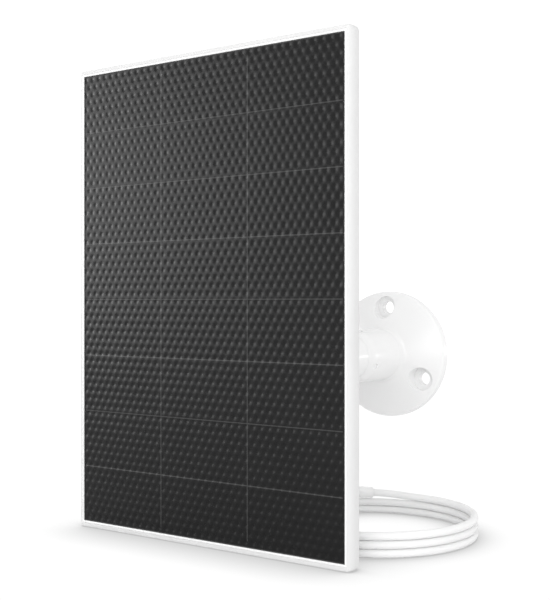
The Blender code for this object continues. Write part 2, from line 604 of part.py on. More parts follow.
# ------------------------------------------------------------------ lead
def smooth_route(points, spacing):
    """Reads points about one spacing apart from a Catmull-Rom curve through the route."""
    route = [Vector(p) for p in points]
    route = [2 * route[0] - route[1]] + route + [2 * route[-1] - route[-2]]
    fine = []
    steps = 12
    for i in range(1, len(route) - 2):
        before, start, end, after = route[i - 1:i + 3]
        for step in range(steps):
            t = step / steps
            fine.append(0.5 * (2 * start + (end - before) * t
                               + (2 * before - 5 * start + 4 * end - after) * t * t
                               + (3 * start - before - 3 * end + after) * t ** 3))
    fine.append(route[-2])
    length = sum((b - a).length for a, b in zip(fine, fine[1:]))
    pieces = max(2, round(length / spacing))
    kept, travelled = [fine[0]], 0.0
    for a, b in zip(fine, fine[1:]):
        travelled += (b - a).length
        if travelled >= length * len(kept) / pieces and len(kept) < pieces:
            kept.append(b)
    kept.append(fine[-1])
    return kept


def on_coil(angle, height, radius=COIL_RADIUS):
    """A world point on the circle of the turns."""
    return (COIL_X + radius * math.cos(math.radians(angle)),
            Y_FRONT + COIL_DEPTH + radius * math.sin(math.radians(angle)), height)


def make_lead(materials):
    joint_gap = math.degrees(3 * FIT / COIL_RADIUS)
    route = [(x, Y_FRONT + depth, z) for x, depth, z in LEAD_ROUTE]
    route.append(on_coil(COIL_START - joint_gap, CORD_RADIUS))
    curve = bpy.data.curves.new("cord_lead", "CURVE")
    curve.dimensions = "3D"
    curve.bevel_depth = CORD_RADIUS
    curve.bevel_resolution = 2
    curve.use_fill_caps = True
    curve.materials.append(materials["white_cord"])
    points = smooth_route(route, 2.2 * CORD_LAYER)
    spline = curve.splines.new("POLY")
    spline.points.add(len(points) - 1)
    for point, place_at in zip(spline.points, points):
        point.co = (*place_at, 1.0)
    bpy.context.scene.collection.objects.link(bpy.data.objects.new("cord_lead", curve))


def make_coil(materials):
    """Three turns stacked. The lowest starts at the lead and the top one ends at the plug."""
    ramp = 1.5
    low = ((COIL_END, 0.0), (COIL_CLIMB, 0.0), (COIL_CLIMB + ramp, CORD_LAYER + FIT),
           (COIL_START - ramp / 2, CORD_LAYER + FIT), (COIL_START + ramp / 2, 0.0), (COIL_END + 360, 0.0))
    high = ((COIL_END, 3 * CORD_LAYER), (COIL_END + ramp, 2 * CORD_LAYER), (COIL_START, 2 * CORD_LAYER),
            (COIL_START + ramp, 3 * CORD_LAYER), (COIL_END + 360, 3 * CORD_LAYER))

    def height(stations, angle):
        for (a, value_a), (b, value_b) in zip(stations, stations[1:]):
            if a <= angle <= b:
                return value_a + (value_b - value_a) * (angle - a) / (b - a)
        return stations[-1][1]

    stops = {angle for angle, _ in low + high} | {COIL_END + 7.5 * i for i in range(49)}
    loops = []
    for angle in sorted(stops)[:-1]:
        bottom, top = height(low, angle), height(high, angle)
        inner, outer = COIL_RADIUS - CORD_RADIUS, COIL_RADIUS + CORD_RADIUS
        loops.append([on_coil(angle, bottom, inner), on_coil(angle, bottom, outer),
                      on_coil(angle, top, outer), on_coil(angle, top, inner)])
    add_object("cord_coil", skin(loops, ring=True), materials["white_cord"])


def make_cord_exit(materials):
    """Bush in the pod's lower wall and the tapered boot under it."""
    at = (EXIT_X, Y_FRONT + EXIT_DEPTH, POD_BOTTOM)
    bore = CORD_RADIUS + FIT
    flange_top, flange_low = 1.5 * MM, 2.7 * MM
    bush = [(bore, -2.5 * MM), (BUSH_RADIUS, -2.5 * MM), (BUSH_RADIUS, flange_top),
            (BUSH_FLANGE_RADIUS, flange_top), (BUSH_FLANGE_RADIUS, flange_low), (bore, flange_low)]
    add_object("cord_bush", turned(bush, 20), materials["white_cord"], None, at, FACE_DOWN)
    end = BOOT_LENGTH - FIT
    boot = [(0, 0), (2.9 * MM, 0), (2.9 * MM, 1.4 * MM), (2.5 * MM, 2.2 * MM), (2.0 * MM, end - 0.3 * MM),
            (1.8 * MM, end), (0, end)]
    add_object("cord_boot", turned(boot, 20), materials["white_cord"], None,
               (EXIT_X, Y_FRONT + EXIT_DEPTH, BOOT_TOP), FACE_DOWN)


def make_plug(materials):
    """Boot, moulded body and metal shell, laid on the coil in line with one another."""
    heading, rise = math.radians(PLUG_HEADING), math.radians(PLUG_RISE)
    forward = Vector((math.cos(heading) * math.cos(rise), math.sin(heading) * math.cos(rise),
                      math.sin(rise)))
    side = Vector((0, 0, 1)).cross(forward).normalized()
    up = forward.cross(side)
    start = make_empty("plug_start", on_coil(PLUG_ANGLE, PLUG_START_Z))
    start.rotation_euler = Matrix((side, up, forward)).transposed().to_euler()

    boot = [(0, 0), (2.1 * MM, 0), (2.3 * MM, 0.3 * MM), (2.3 * MM, 6.0 * MM), (2.6 * MM, PLUG_BOOT_LENGTH),
            (0, PLUG_BOOT_LENGTH)]
    add_object("plug_boot", turned(boot, 20), materials["white_cord"], start)

    body_start = PLUG_BOOT_LENGTH + FIT
    body_end = body_start + PLUG_BODY_LENGTH
    half_x, half_y = PLUG_WIDTH / 2, PLUG_THICKNESS / 2
    body = [rounded_loop(0.62 * half_x, 0.88 * half_y, 2.2 * MM, body_start),
            rounded_loop(0.86 * half_x, 0.97 * half_y, 2.5 * MM, body_start + 2.2 * MM),
            rounded_loop(half_x, half_y, 2.7 * MM, body_start + 5.5 * MM),
            rounded_loop(half_x, half_y, 2.7 * MM, body_end - 0.6 * MM),
            rounded_loop(half_x - 0.5 * MM, half_y - 0.5 * MM, 2.2 * MM, body_end)]
    add_object("plug_body", skin(body), materials["white_cord"], start)

    shell_start = body_end + FIT
    shell_end = shell_start + PLUG_SHELL_LENGTH
    half_x, half_y, corner = SHELL_WIDTH / 2, SHELL_THICKNESS / 2, 1.25 * MM
    inner_x, inner_y, inner_corner = (value - SHELL_WALL for value in (half_x, half_y, corner))
    shell = [rounded_loop(half_x, half_y, corner, shell_start),
             rounded_loop(half_x, half_y, corner, shell_end),
             rounded_loop(inner_x, inner_y, inner_corner, shell_end),
             rounded_loop(inner_x, inner_y, inner_corner, shell_start + 1 * MM)]
    add_object("plug_shell", skin(shell), materials["steel"], start)
    tongue_middle = shell_start + 1.3 * MM + TONGUE[2] / 2
    box("plug_tongue", TONGUE, (0, 0, tongue_middle), materials["dark_component"], start)


def main():
    clear_scene()
    materials = make_materials()
    panel = make_empty("panel_middle", (0, Y_FRONT, PANEL_HEIGHT / 2), FACE_BACK)
    pod = make_empty("pod_middle", (0, Y_FRONT, POD_CENTRE_Z), FACE_BACK)
    axis = make_empty("ball_centre", (0, Y_BALL, AXIS_Z), FACE_BACK)
    make_front_frame(materials, panel)
    make_laminate(materials, panel)
    make_back_cover(materials, panel, pod, axis)
    make_cover_screws(materials, panel)
    make_electronics(materials)
    make_mount_insert(materials, axis)
    make_lock_nut(materials, axis)
    make_ball_stud(materials, axis)
    make_ball_seat(materials, axis)
    make_socket(materials, axis)
    make_clamp_collar(materials, axis)
    make_arm(materials, axis)
    make_swivel_screw(materials, axis)
    make_wall_base(materials, axis)
    make_cord_exit(materials)
    make_lead(materials)
    make_coil(materials)
    make_plug(materials)


main()
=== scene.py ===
"""Looks of the small solar charging panel on its swivelling wall bracket, with its coiled lead.

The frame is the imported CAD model. Metres, +Z up, the panel faces -Y and the wall is at +Y.
Bracket parts are turned about its straight axis, and their lengths start at the ball's centre.
"""

import json
import math

import bmesh
import bpy
from mathutils import Matrix, Vector


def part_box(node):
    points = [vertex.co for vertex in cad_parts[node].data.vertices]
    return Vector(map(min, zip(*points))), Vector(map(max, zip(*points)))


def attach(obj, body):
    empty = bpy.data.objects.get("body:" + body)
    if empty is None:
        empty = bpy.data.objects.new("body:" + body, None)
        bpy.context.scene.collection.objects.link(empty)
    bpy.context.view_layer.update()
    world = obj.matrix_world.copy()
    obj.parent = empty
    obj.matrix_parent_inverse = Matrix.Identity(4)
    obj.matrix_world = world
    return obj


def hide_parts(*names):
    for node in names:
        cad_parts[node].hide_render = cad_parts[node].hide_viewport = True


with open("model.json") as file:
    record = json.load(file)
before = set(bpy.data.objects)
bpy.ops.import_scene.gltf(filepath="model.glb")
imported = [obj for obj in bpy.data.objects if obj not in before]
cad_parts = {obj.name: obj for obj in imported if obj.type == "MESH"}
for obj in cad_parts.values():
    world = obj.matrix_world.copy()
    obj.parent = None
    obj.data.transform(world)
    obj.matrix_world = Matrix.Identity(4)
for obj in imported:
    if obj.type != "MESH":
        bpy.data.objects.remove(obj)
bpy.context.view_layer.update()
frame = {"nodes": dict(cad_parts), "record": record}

MM = 0.001
FIT = 0.3 * MM                      # gap between pieces that touch
OVERRUN = 1 * MM                    # how far a cutting shape reaches past the surface that it cuts
OVERLAP = 0.5 * MM                  # how far a joined shape reaches into the one that it joins

# ---- places read from the frame ----
FRAME_LOW, FRAME_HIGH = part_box("front_frame")
FILM_LOW, FILM_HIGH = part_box("embossed_film")
BASE_LOW, BASE_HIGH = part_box("wall_base")
ARM_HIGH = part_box("arm_tube")[1]
BALL_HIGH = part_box("ball_stud")[1]
COIL_LOW, COIL_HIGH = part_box("cord_coil")

PANEL_WIDTH = FRAME_HIGH.x - FRAME_LOW.x
PANEL_HEIGHT = FRAME_HIGH.z - FRAME_LOW.z
PANEL_MIDDLE_Z = (FRAME_HIGH.z + FRAME_LOW.z) / 2
Y_FRONT = FRAME_LOW.y
FRAME_DEPTH = FRAME_HIGH.y - FRAME_LOW.y
BALL_RADIUS = 10 * MM
AXIS_Z = (BASE_HIGH.z + BASE_LOW.z) / 2
Y_BALL = BALL_HIGH.y - BALL_RADIUS

# ---- stage ----
AMBIENT = 0.86
BACKDROP_TONE = 1.15
# The view shows the floor as an even glow, with a contact shadow painted into it by ambient occlusion:
FLOOR_TONE = 1.03
SHADOW_TONE = 0.54
SHADOW_REACH = 32 * MM
SHADOW_CORE = 0.35                  # openness of the floor where the shadow is at its darkest
SHADOW_EDGE = 0.96                  # and where it ends

# ---- panel ----
FRAME_CORNER = 1.9 * MM
OPENING_CORNER = 0.25 * MM
BEZEL = 2.5 * MM
BEAD_OUTER = 1.75 * MM              # bead of whiter plastic between the bezel's round edge and the film: painted highlight on the frame's lit inner edge
BEAD_DEPTH = 0.5 * MM
BEAD_GAP = 0.03 * MM
FRONT_ROUND = 1.6 * MM
FRONT_ROUND_DEPTH = 3.4 * MM
BACK_ROUND = 1.2 * MM
LEVEL_EDGE_ROUND = 0.3              # share of FRONT_ROUND that the top and bottom edges have
LEDGE_INSET = 11 * MM
LEDGE_FRONT = 3.6 * MM
CELL_COLUMNS = 3
CELL_ROWS = 8
CELL_PITCH_X = (PANEL_WIDTH - 2 * BEZEL) / CELL_COLUMNS
CELL_PITCH_Z = (FILM_HIGH.z - FILM_LOW.z) / CELL_ROWS
CELL_LINE = 0.36 * MM
LINE_FADE = 0.15                    # share of the line that fades on each side of its edge
LINE_MARGIN = (1.0 * MM, 2 * MM)    # the lines end this far inside the opening, across and up
CELL_DROP = 0.4 * MM                # the cells lie a little low in the frame
FILM_SHADE_LINE = 0.4 * MM                # painted shade: a black line round the film where the recess at its edge lies in shadow
SHADE_LINE_FRONT = 0.45 * MM
SHADE_LINE_BACK = 0.8 * MM
DIMPLES_PER_CELL = 12
DIMPLE_PITCH = CELL_PITCH_X / DIMPLES_PER_CELL
DIMPLE_ROW = CELL_PITCH_Z / 7.5
DIMPLE_DEPTH = 0.20 * MM
DIMPLE_SPREAD_X = 0.17 * DIMPLE_PITCH
DIMPLE_SPREAD_Z = 0.22 * DIMPLE_ROW
DIMPLE_SHIFT_X = -0.2 * DIMPLE_PITCH
DIMPLE_SHIFT_Z = -CELL_DROP - 0.26 * DIMPLE_ROW
DIMPLE_STEPS_X = 10
DIMPLE_STEPS_Z = 8

# ---- back cover: depths behind the frame's front ----
COVER_FRONT = FRAME_DEPTH + FIT
COVER_BACK = COVER_FRONT + 1.7 * MM
COVER_INSET = 1.4 * MM
COVER_EDGE = 0.9 * MM
COVER_GROOVE_INSET = 3.6 * MM
COVER_GROOVE_WIDTH = 0.6 * MM
COVER_GROOVE_DRAFT = 0.1 * MM
COVER_GROOVE_DEPTH = 0.25 * MM
POD_WIDTH = 66 * MM
POD_HEIGHT = 80 * MM
POD_MIDDLE_Z = 76 * MM
POD_CORNER = 9 * MM
POD_BACK = 15.5 * MM
POD_WALL = 1.8 * MM
POD_CEILING_INSET = 3.4 * MM
BOSS_RADIUS = 15 * MM
BOSS_BACK = 18 * MM
COLUMN_RADIUS = 7.5 * MM            # it holds the threaded insert, inside the pod
COLUMN_FRONT = COVER_FRONT + 0.5 * MM
INSERT_BORE = 4.9 * MM
BUSH_HOLE = 2.6 * MM
SCREW_INSET = 7.5 * MM
SCREW_TIP = LEDGE_FRONT + FIT
SCREW_RADIUS = 0.7 * MM
SCREW_HEAD_RADIUS = 2.3 * MM
SCREW_HEAD_FRONT = COVER_BACK - 0.6 * MM
SCREW_HEAD_HEIGHT = 1.15 * MM
SCREW_CROSS = (0.5 * MM, 2.4 * MM, 0.6 * MM)    # width, length and depth of the recess

# ---- bracket: radii, and lengths from the ball's centre ----
BALL_DEPTH = Y_BALL - Y_FRONT
STUD_RADIUS = 3.0 * MM
STUD_CHAMFER = 0.6 * MM
THREAD_PITCH = 0.8 * MM
THREAD_DEPTH = 0.25 * MM
STUD_TIP = 7.5 * MM - BALL_DEPTH
STUD_COLLAR_RADIUS = 5.2 * MM
FLAT_DEPTH = 0.6 * MM               # of the spanner flats on the collar
STUD_COLLAR_START = 22.9 * MM - BALL_DEPTH
STUD_COLLAR_END = 24.7 * MM - BALL_DEPTH
NUT_RADIUS = 7.6 * MM
NUT_CHAMFER = 0.55 * MM
NUT_START = BOSS_BACK + FIT - BALL_DEPTH
NUT_END = NUT_START + 4 * MM
SEAT_INNER = BALL_RADIUS + FIT
CUP_RADIUS = 12.2 * MM
SOCKET_RADIUS = 14.6 * MM
SOCKET_MOUTH = -1.2 * MM
SHOULDER_START = 8.2 * MM
SHOULDER_END = 16.8 * MM
SOCKET_TAIL_RADIUS = 7.7 * MM
SOCKET_TAIL_END = 28 * MM
COLLAR_RADIUS = 17.4 * MM
COLLAR_FRONT = -6.6 * MM
COLLAR_MOUTH = 11.7 * MM
COLLAR_LIP_ANGLES = (80, 76, 72, 68.5, 65)   # degrees off the axis, in front of the ball
COLLAR_BACK = 9 * MM
GRIPS = 12
GRIP_RADIUS = 2.2 * MM
GRIP_CIRCLE = COLLAR_RADIUS + 1.5 * MM
GRIP_START = -2 * MM
ARM_WALL = 2.3 * MM
ARM_START = 18.3 * MM
RING_START = 70.5 * MM              # groove for the friction ring
RING_END = 73.5 * MM
RING_GROOVE = 9.2 * MM
PIVOT_RADIUS = 1.6 * MM
PIVOT_HEAD_RADIUS = 3.9 * MM
PIVOT_HEAD_HEIGHT = 2.6 * MM
PIVOT_CROSS = (0.9 * MM, 4.2 * MM, 1.2 * MM)
PIVOT_REACH = 11 * MM               # into the plug in the arm's end
WASHER_RADIUS = 6 * MM
WASHER_THICKNESS = 1 * MM
ARM_RADIUS = 10.3 * MM
BASE_RADIUS = (BASE_HIGH.z - BASE_LOW.z) / 2
BASE_BACK = BASE_HIGH.y - Y_BALL
BASE_RIM = 4.4 * MM
BASE_CONE = 6.7 * MM
HUB_RADIUS = 11.8 * MM
HUB_BORE = ARM_RADIUS + FIT
HUB_MOUTH_GAP = 0.04 * MM
HUB_LIP = 0.9 * MM                  # the bore narrows to the mouth over the first of its length
HUB_TAPER = 3.2 * MM
HUB_FRONT = BASE_LOW.y - Y_BALL
HUB_FLOOR = ARM_HIGH.y - Y_BALL + 0.5 * MM
POCKET_FLOOR = 88.5 * MM
POCKET_RADIUS = 8.5 * MM
PIVOT_HOLE = 2.2 * MM
WALL_SCREW_CIRCLE = 21.7 * MM
WALL_SCREW_HOLE = 2.9 * MM
WALL_SCREW_SEAT = 5.25 * MM
WALL_SCREW_FLOOR = BASE_BACK - 3.2 * MM
WALL_SCREW_ANGLES = (90, 210, 330)
NOTCH_ANGLES = (-20, 70, 160, 250)
NOTCH_WIDTH = 2.3 * MM
NOTCH_LENGTH = 6 * MM
NOTCH_DEPTH = 0.5 * MM

# ---- lead ----
BOOT_TOP = 33 * MM
BOOT_END = 22.3 * MM
BOOT_RIBS = 4
BOOT_GROOVE = 0.3 * MM
PLUG_BOOT_GROOVE = 0.14 * MM
PLUG_HEADING = 224                  # degrees, the way that the plug points, seen from above
PLUG_RISE = 3.5                     # degrees
PLUG_BOOT_LENGTH = 9 * MM
PLUG_BODY_LENGTH = 21 * MM
PLUG_WIDTH = 10.6 * MM
PLUG_THICKNESS = 5.8 * MM
PLUG_TAPER = 5.5 * MM
PLUG_NECK_WIDTH = 0.62              # next to the boot, as a share of the full width
PLUG_NECK_THICKNESS = 0.88
PLUG_END_ROUND = 0.7 * MM
CORD_RADIUS = 1.5 * MM
CORD_EXIT = (-20 * MM, Y_FRONT + 12 * MM, 22 * MM)
COIL_RADIUS = 39.3 * MM
COIL_STEP = 5                       # degrees between points
ROUTE_STEPS = 6                     # points between two points of the lead's route
COIL_CENTRE = (COIL_HIGH.x - COIL_RADIUS - CORD_RADIUS, (COIL_LOW.y + COIL_HIGH.y) / 2)
# Angles along the coil: degrees, counter-clockwise from +X, seen from above, one turn after another.
COIL_START = 200
COIL_END = 3 * 360 + 119
PLUG_START_Z = 8.4 * MM
# Where the cord climbs, and how far: onto the second turn, onto the third, and to the plug.
COIL_CLIMBS = ((520, 558, 2 * CORD_RADIUS), (880, 918, 2 * CORD_RADIUS),
               (1168, COIL_END, PLUG_START_Z - 5 * CORD_RADIUS))
# The lead's route from its boot to the first turn: x, depth behind the frame's front, z.
LEAD_ROUTE = [(x * MM, Y_FRONT + depth * MM, z * MM) for x, depth, z in (
    (-20.0, 12.0, 22.0), (-20.0, 12.0, 19.4), (-20.1, 12.3, 16.2), (-20.3, 13.2, 12.6),
    (-20.6, 15.0, 9.0), (-21.1, 18.0, 5.8), (-21.8, 22.0, 3.3), (-22.7, 26.7, 1.9),
    (-23.8, 31.9, 1.5), (-24.8, 37.5, 1.5), (-25.0, 43.2, 1.5), (-23.8, 48.8, 1.5),
    (-20.6, 53.6, 1.5), (-15.9, 56.6, 1.5), (-10.5, 56.9, 1.5), (-5.4, 54.2, 1.5),
    (-2.0, 49.4, 1.5))]


# ------------------------------------------------------------------ camera, stage and light
def seen_directly(tree, as_light, as_seen):
    """One value for light that falls on the object, and another for what the view shows of the stage."""
    path = tree.nodes.new("ShaderNodeLightPath")
    value = tree.nodes.new("ShaderNodeMapRange")
    value.inputs["To Min"].default_value = as_light
    value.inputs["To Max"].default_value = as_seen
    tree.links.new(path.outputs["Is Camera Ray"], value.inputs["Value"])
    return value.outputs["Result"]


def make_camera():
    """A level view from the front right, at about half the panel's height."""
    data = bpy.data.cameras.new("photo_view")
    data.sensor_width = 36
    data.lens = 62.46
    data.shift_y = 0.004
    camera = bpy.data.objects.new("photo_view", data)
    camera.location = (0.2404, -0.3602, 0.0885)
    camera.rotation_euler = (math.radians(90), 0, math.radians(35.6))
    bpy.context.scene.collection.objects.link(camera)
    bpy.context.scene.camera = camera


def make_stage():
    """A white floor that the view shows as an even glow, with a soft contact shadow painted into that glow
    from ambient occlusion under the object.
    """
    half = 6.0                          # metres
    mesh = bpy.data.meshes.new("floor")
    corners = [(-half, -half, 0), (half, -half, 0), (half, half, 0), (-half, half, 0)]
    mesh.from_pydata(corners, [], [(0, 1, 2, 3)])
    floor = bpy.data.objects.new("floor", mesh)
    floor.location.z = -0.1 * MM
    bpy.context.scene.collection.objects.link(floor)
    material, tree, shader = shader_of("pale_floor")
    shader.inputs["Base Color"].default_value = (0.92, 0.92, 0.92, 1)
    shader.inputs["Roughness"].default_value = 0.9
    shader.inputs["Specular IOR Level"].default_value = 0.1
    # painted contact shadow: ambient occlusion near the object lowers the glow that the view shows
    near = tree.nodes.new("ShaderNodeAmbientOcclusion")
    near.samples = 16
    near.inputs["Distance"].default_value = SHADOW_REACH
    level = tree.nodes.new("ShaderNodeMapRange")
    level.inputs["From Min"].default_value = SHADOW_CORE
    level.inputs["From Max"].default_value = SHADOW_EDGE
    level.inputs["To Min"].default_value = SHADOW_TONE
    level.inputs["To Max"].default_value = FLOOR_TONE
    tree.links.new(near.outputs["AO"], level.inputs["Value"])
    shown = tree.nodes.new("ShaderNodeEmission")
    tree.links.new(level.outputs["Result"], shown.inputs["Strength"])
    choice = tree.nodes.new("ShaderNodeMixShader")
    tree.links.new(seen_directly(tree, 0.0, 1.0), choice.inputs["Fac"])
    tree.links.new(shader.outputs["BSDF"], choice.inputs[1])
    tree.links.new(shown.outputs["Emission"], choice.inputs[2])
    tree.links.new(choice.outputs["Shader"], tree.nodes["Material Output"].inputs["Surface"])
    mesh.materials.append(material)


def make_world():
    """White where the camera looks past the floor, and a softer white as ambient light."""
    world = bpy.data.worlds.new("studio")
    world.use_nodes = True
    tree = world.node_tree
    background = tree.nodes["Background"]
    background.inputs["Color"].default_value = (1, 1, 1, 1)
    tree.links.new(seen_directly(tree, AMBIENT, BACKDROP_TONE), background.inputs["Strength"])
    bpy.context.scene.world = world
    bpy.context.scene.view_settings.view_transform = "Standard"


def soft_box(name, place, target, size, power):
    """A rectangular area light that faces the target."""
    data = bpy.data.lights.new(name, "AREA")
    data.shape = "RECTANGLE"
    data.size, data.size_y = size
    data.energy = power
    lamp = bpy.data.objects.new(name, data)
    lamp.location = place
    aim = Vector(target) - Vector(place)
    lamp.rotation_euler = aim.to_track_quat("-Z", "Y").to_euler()
    bpy.context.scene.collection.objects.link(lamp)
    return lamp


def make_lights():
    """Two boxes that light the object, and three that only its glossy surfaces reflect."""
    middle = (0.01, 0.0, 0.07)
    soft_box("key", (0.68, -0.82, 0.42), middle, (0.8, 0.8), 3.5)
    soft_box("front_box", (0.25, -1.40, 0.30), middle, (0.8, 0.6), 2.8)
    reflected = (soft_box("left_box", (-0.95, -0.79, 0.27), middle, (0.75, 0.50), 4.1),
                 soft_box("far_left_box", (-1.16, -0.52, 0.27), middle, (0.42, 0.46), 3.2),
                 soft_box("rear_strip", (0.63, 1.06, 0.085), middle, (0.8, 0.05), 0.9))
    for lamp in reflected:
        lamp.visible_diffuse = False


# ------------------------------------------------------------------ materials
def shader_of(name):
    material = bpy.data.materials.new(name)
    material.use_nodes = True
    tree = material.node_tree
    return material, tree, tree.nodes["Principled BSDF"]


def object_noise(tree, scale, detail=2.0, stretch=None):
    """Noise that stays with the piece, in its own coordinates."""
    coordinates = tree.nodes.new("ShaderNodeTexCoord")
    noise = tree.nodes.new("ShaderNodeTexNoise")
    noise.inputs["Scale"].default_value = scale
    noise.inputs["Detail"].default_value = detail
    source = coordinates.outputs["Object"]
    if stretch is not None:
        mapping = tree.nodes.new("ShaderNodeMapping")
        mapping.inputs["Scale"].default_value = stretch
        tree.links.new(source, mapping.inputs["Vector"])
        source = mapping.outputs["Vector"]
    tree.links.new(source, noise.inputs["Vector"])
    return noise.outputs["Fac"]


def spread(tree, value, low, high):
    """Maps a noise value to a range, with its contrast taken from the middle of the noise."""
    node = tree.nodes.new("ShaderNodeMapRange")
    node.inputs["From Min"].default_value = 0.3
    node.inputs["From Max"].default_value = 0.7
    node.inputs["To Min"].default_value = low
    node.inputs["To Max"].default_value = high
    tree.links.new(value, node.inputs["Value"])
    return node.outputs["Result"]


def tint(tree, value, dark, light):
    mix = tree.nodes.new("ShaderNodeMix")
    mix.data_type = "RGBA"
    mix.inputs["A"].default_value = (*dark, 1)
    mix.inputs["B"].default_value = (*light, 1)
    tree.links.new(value, mix.inputs["Factor"])
    return mix.outputs["Result"]


def bump(tree, shader, height, distance, strength=0.5):
    node = tree.nodes.new("ShaderNodeBump")
    node.inputs["Strength"].default_value = strength
    node.inputs["Distance"].default_value = distance
    tree.links.new(height, node.inputs["Height"])
    tree.links.new(node.outputs["Normal"], shader.inputs["Normal"])


def moulded(name, colour, roughness, grain=900, grain_height=0.02 * MM, variation=0.02, glow=0.0,
            shine=0.5):
    """Moulded plastic or rubber: fine grain, slightly uneven sheen and a trace of uneven colour."""
    material, tree, shader = shader_of(name)
    cloud = spread(tree, object_noise(tree, 45), 0, 1)
    darker = tuple(max(0, c * (1 - variation)) for c in colour)
    tree.links.new(tint(tree, cloud, darker, colour), shader.inputs["Base Color"])
    polish = spread(tree, object_noise(tree, 160, 3), roughness * 0.92, roughness * 1.08)
    tree.links.new(polish, shader.inputs["Roughness"])
    shader.inputs["Specular IOR Level"].default_value = shine
    shader.inputs["Subsurface Weight"].default_value = glow
    shader.inputs["Subsurface Radius"].default_value = (1, 1, 1)
    shader.inputs["Subsurface Scale"].default_value = 2.5 * MM
    bump(tree, shader, object_noise(tree, grain, 2), grain_height)
    return material


def metal(name, colour, roughness, stretch):
    """Turned or drawn metal: fine lines along one direction."""
    material, tree, shader = shader_of(name)
    lines = object_noise(tree, 700, 3, stretch)
    darker = tuple(c * 0.88 for c in colour)
    tree.links.new(tint(tree, spread(tree, lines, 0, 1), darker, colour), shader.inputs["Base Color"])
    tree.links.new(spread(tree, lines, roughness * 0.8, roughness * 1.25), shader.inputs["Roughness"])
    shader.inputs["Metallic"].default_value = 1.0
    bump(tree, shader, lines, 0.01 * MM, 0.3)
    return material


def arithmetic(tree, operation, a, b=None):
    node = tree.nodes.new("ShaderNodeMath")
    node.operation = operation
    for socket, value in zip(node.inputs, (a, b)):
        if isinstance(value, (int, float)):
            socket.default_value = value
        elif value is not None:
            tree.links.new(value, socket)
    return node.outputs["Value"]


def line_mask(tree, coordinate, pitch, offset, width):
    """1 on lines a pitch apart, 0 between them, with edges that fade."""
    moved = arithmetic(tree, "ADD", coordinate, offset)
    distance = arithmetic(tree, "PINGPONG", moved, pitch / 2)
    node = tree.nodes.new("ShaderNodeMapRange")
    node.inputs["From Min"].default_value = width * (0.5 - LINE_FADE)
    node.inputs["From Max"].default_value = width * (0.5 + LINE_FADE)
    node.inputs["To Min"].default_value = 1
    node.inputs["To Max"].default_value = 0
    tree.links.new(distance, node.inputs["Value"])
    return node.outputs["Result"]


def film_material():
    """Dark cells under an embossed film, with the paler gaps between the cells."""
    material, tree, shader = shader_of("embossed_black_film")
    coordinates = tree.nodes.new("ShaderNodeTexCoord")
    split = tree.nodes.new("ShaderNodeSeparateXYZ")
    tree.links.new(coordinates.outputs["Object"], split.inputs["Vector"])
    keep_positive = 10                  # whole cells, so that the repeat never starts below zero
    upright_start = (keep_positive + 0.5) * CELL_PITCH_X
    level_start = keep_positive * CELL_PITCH_Z - PANEL_MIDDLE_Z + CELL_DROP
    upright = line_mask(tree, split.outputs["X"], CELL_PITCH_X, upright_start, CELL_LINE)
    level = line_mask(tree, split.outputs["Z"], CELL_PITCH_Z, level_start, CELL_LINE)
    lines = arithmetic(tree, "MAXIMUM", upright, level)
    margin_x, margin_z = LINE_MARGIN
    across = arithmetic(tree, "ABSOLUTE", split.outputs["X"])
    inside = arithmetic(tree, "LESS_THAN", across, PANEL_WIDTH / 2 - BEZEL - margin_x)
    up = arithmetic(tree, "ABSOLUTE", arithmetic(tree, "SUBTRACT", split.outputs["Z"], PANEL_MIDDLE_Z))
    within = arithmetic(tree, "LESS_THAN", up, CELL_ROWS / 2 * CELL_PITCH_Z - margin_z)
    lines = arithmetic(tree, "MULTIPLY", lines, arithmetic(tree, "MULTIPLY", inside, within))
    cloud = spread(tree, object_noise(tree, 60), 0, 1)
    cells = tint(tree, cloud, (0.0070, 0.0070, 0.0072), (0.0085, 0.0085, 0.0087))
    mix = tree.nodes.new("ShaderNodeMix")
    mix.data_type = "RGBA"
    mix.inputs["B"].default_value = (0.050, 0.050, 0.050, 1)
    tree.links.new(lines, mix.inputs["Factor"])
    tree.links.new(cells, mix.inputs["A"])
    tree.links.new(mix.outputs["Result"], shader.inputs["Base Color"])
    tree.links.new(spread(tree, object_noise(tree, 220, 3), 0.25, 0.29), shader.inputs["Roughness"])
    shader.inputs["IOR"].default_value = 1.28
    bump(tree, shader, object_noise(tree, 1600, 2), 0.01 * MM, 0.3)
    return material


def make_materials():
    return {
        "white_shell": moulded("satin_white_plastic", (0.74, 0.74, 0.74), 0.55, shine=0.12),
        "white_bracket": moulded("glossy_white_plastic", (0.93, 0.93, 0.93), 0.22, 500, 0.01 * MM, 0.015),
        "black_film": film_material(),
        "solar_cell": moulded("dark_silicon", (0.015, 0.015, 0.02), 0.3, 300, 0.01 * MM, 0.3),
        "backsheet": moulded("glass_fibre_backsheet", (0.75, 0.75, 0.72), 0.6, 700, 0.03 * MM, 0.08),
        "circuit_board": moulded("green_solder_mask", (0.02, 0.16, 0.07), 0.45, 500, 0.02 * MM, 0.2),
        "dark_component": moulded("black_epoxy", (0.03, 0.03, 0.03), 0.5, 900, 0.02 * MM, 0.2),
        "brass": metal("machined_brass", (0.72, 0.52, 0.20), 0.30, (1, 6, 1)),
        "steel": metal("turned_steel", (0.62, 0.62, 0.62), 0.28, (1, 6, 1)),
        "black_rubber": moulded("sealing_rubber", (0.03, 0.03, 0.03), 0.8, 600, 0.04 * MM, 0.2),
        "grey_nylon": moulded("bearing_nylon", (0.45, 0.45, 0.45), 0.55, 700, 0.03 * MM, 0.06),
        "white_cord": moulded("smooth_white_jacket", (0.84, 0.84, 0.84), 0.5, 800, 0.015 * MM, 0.02, 0.9),
    }


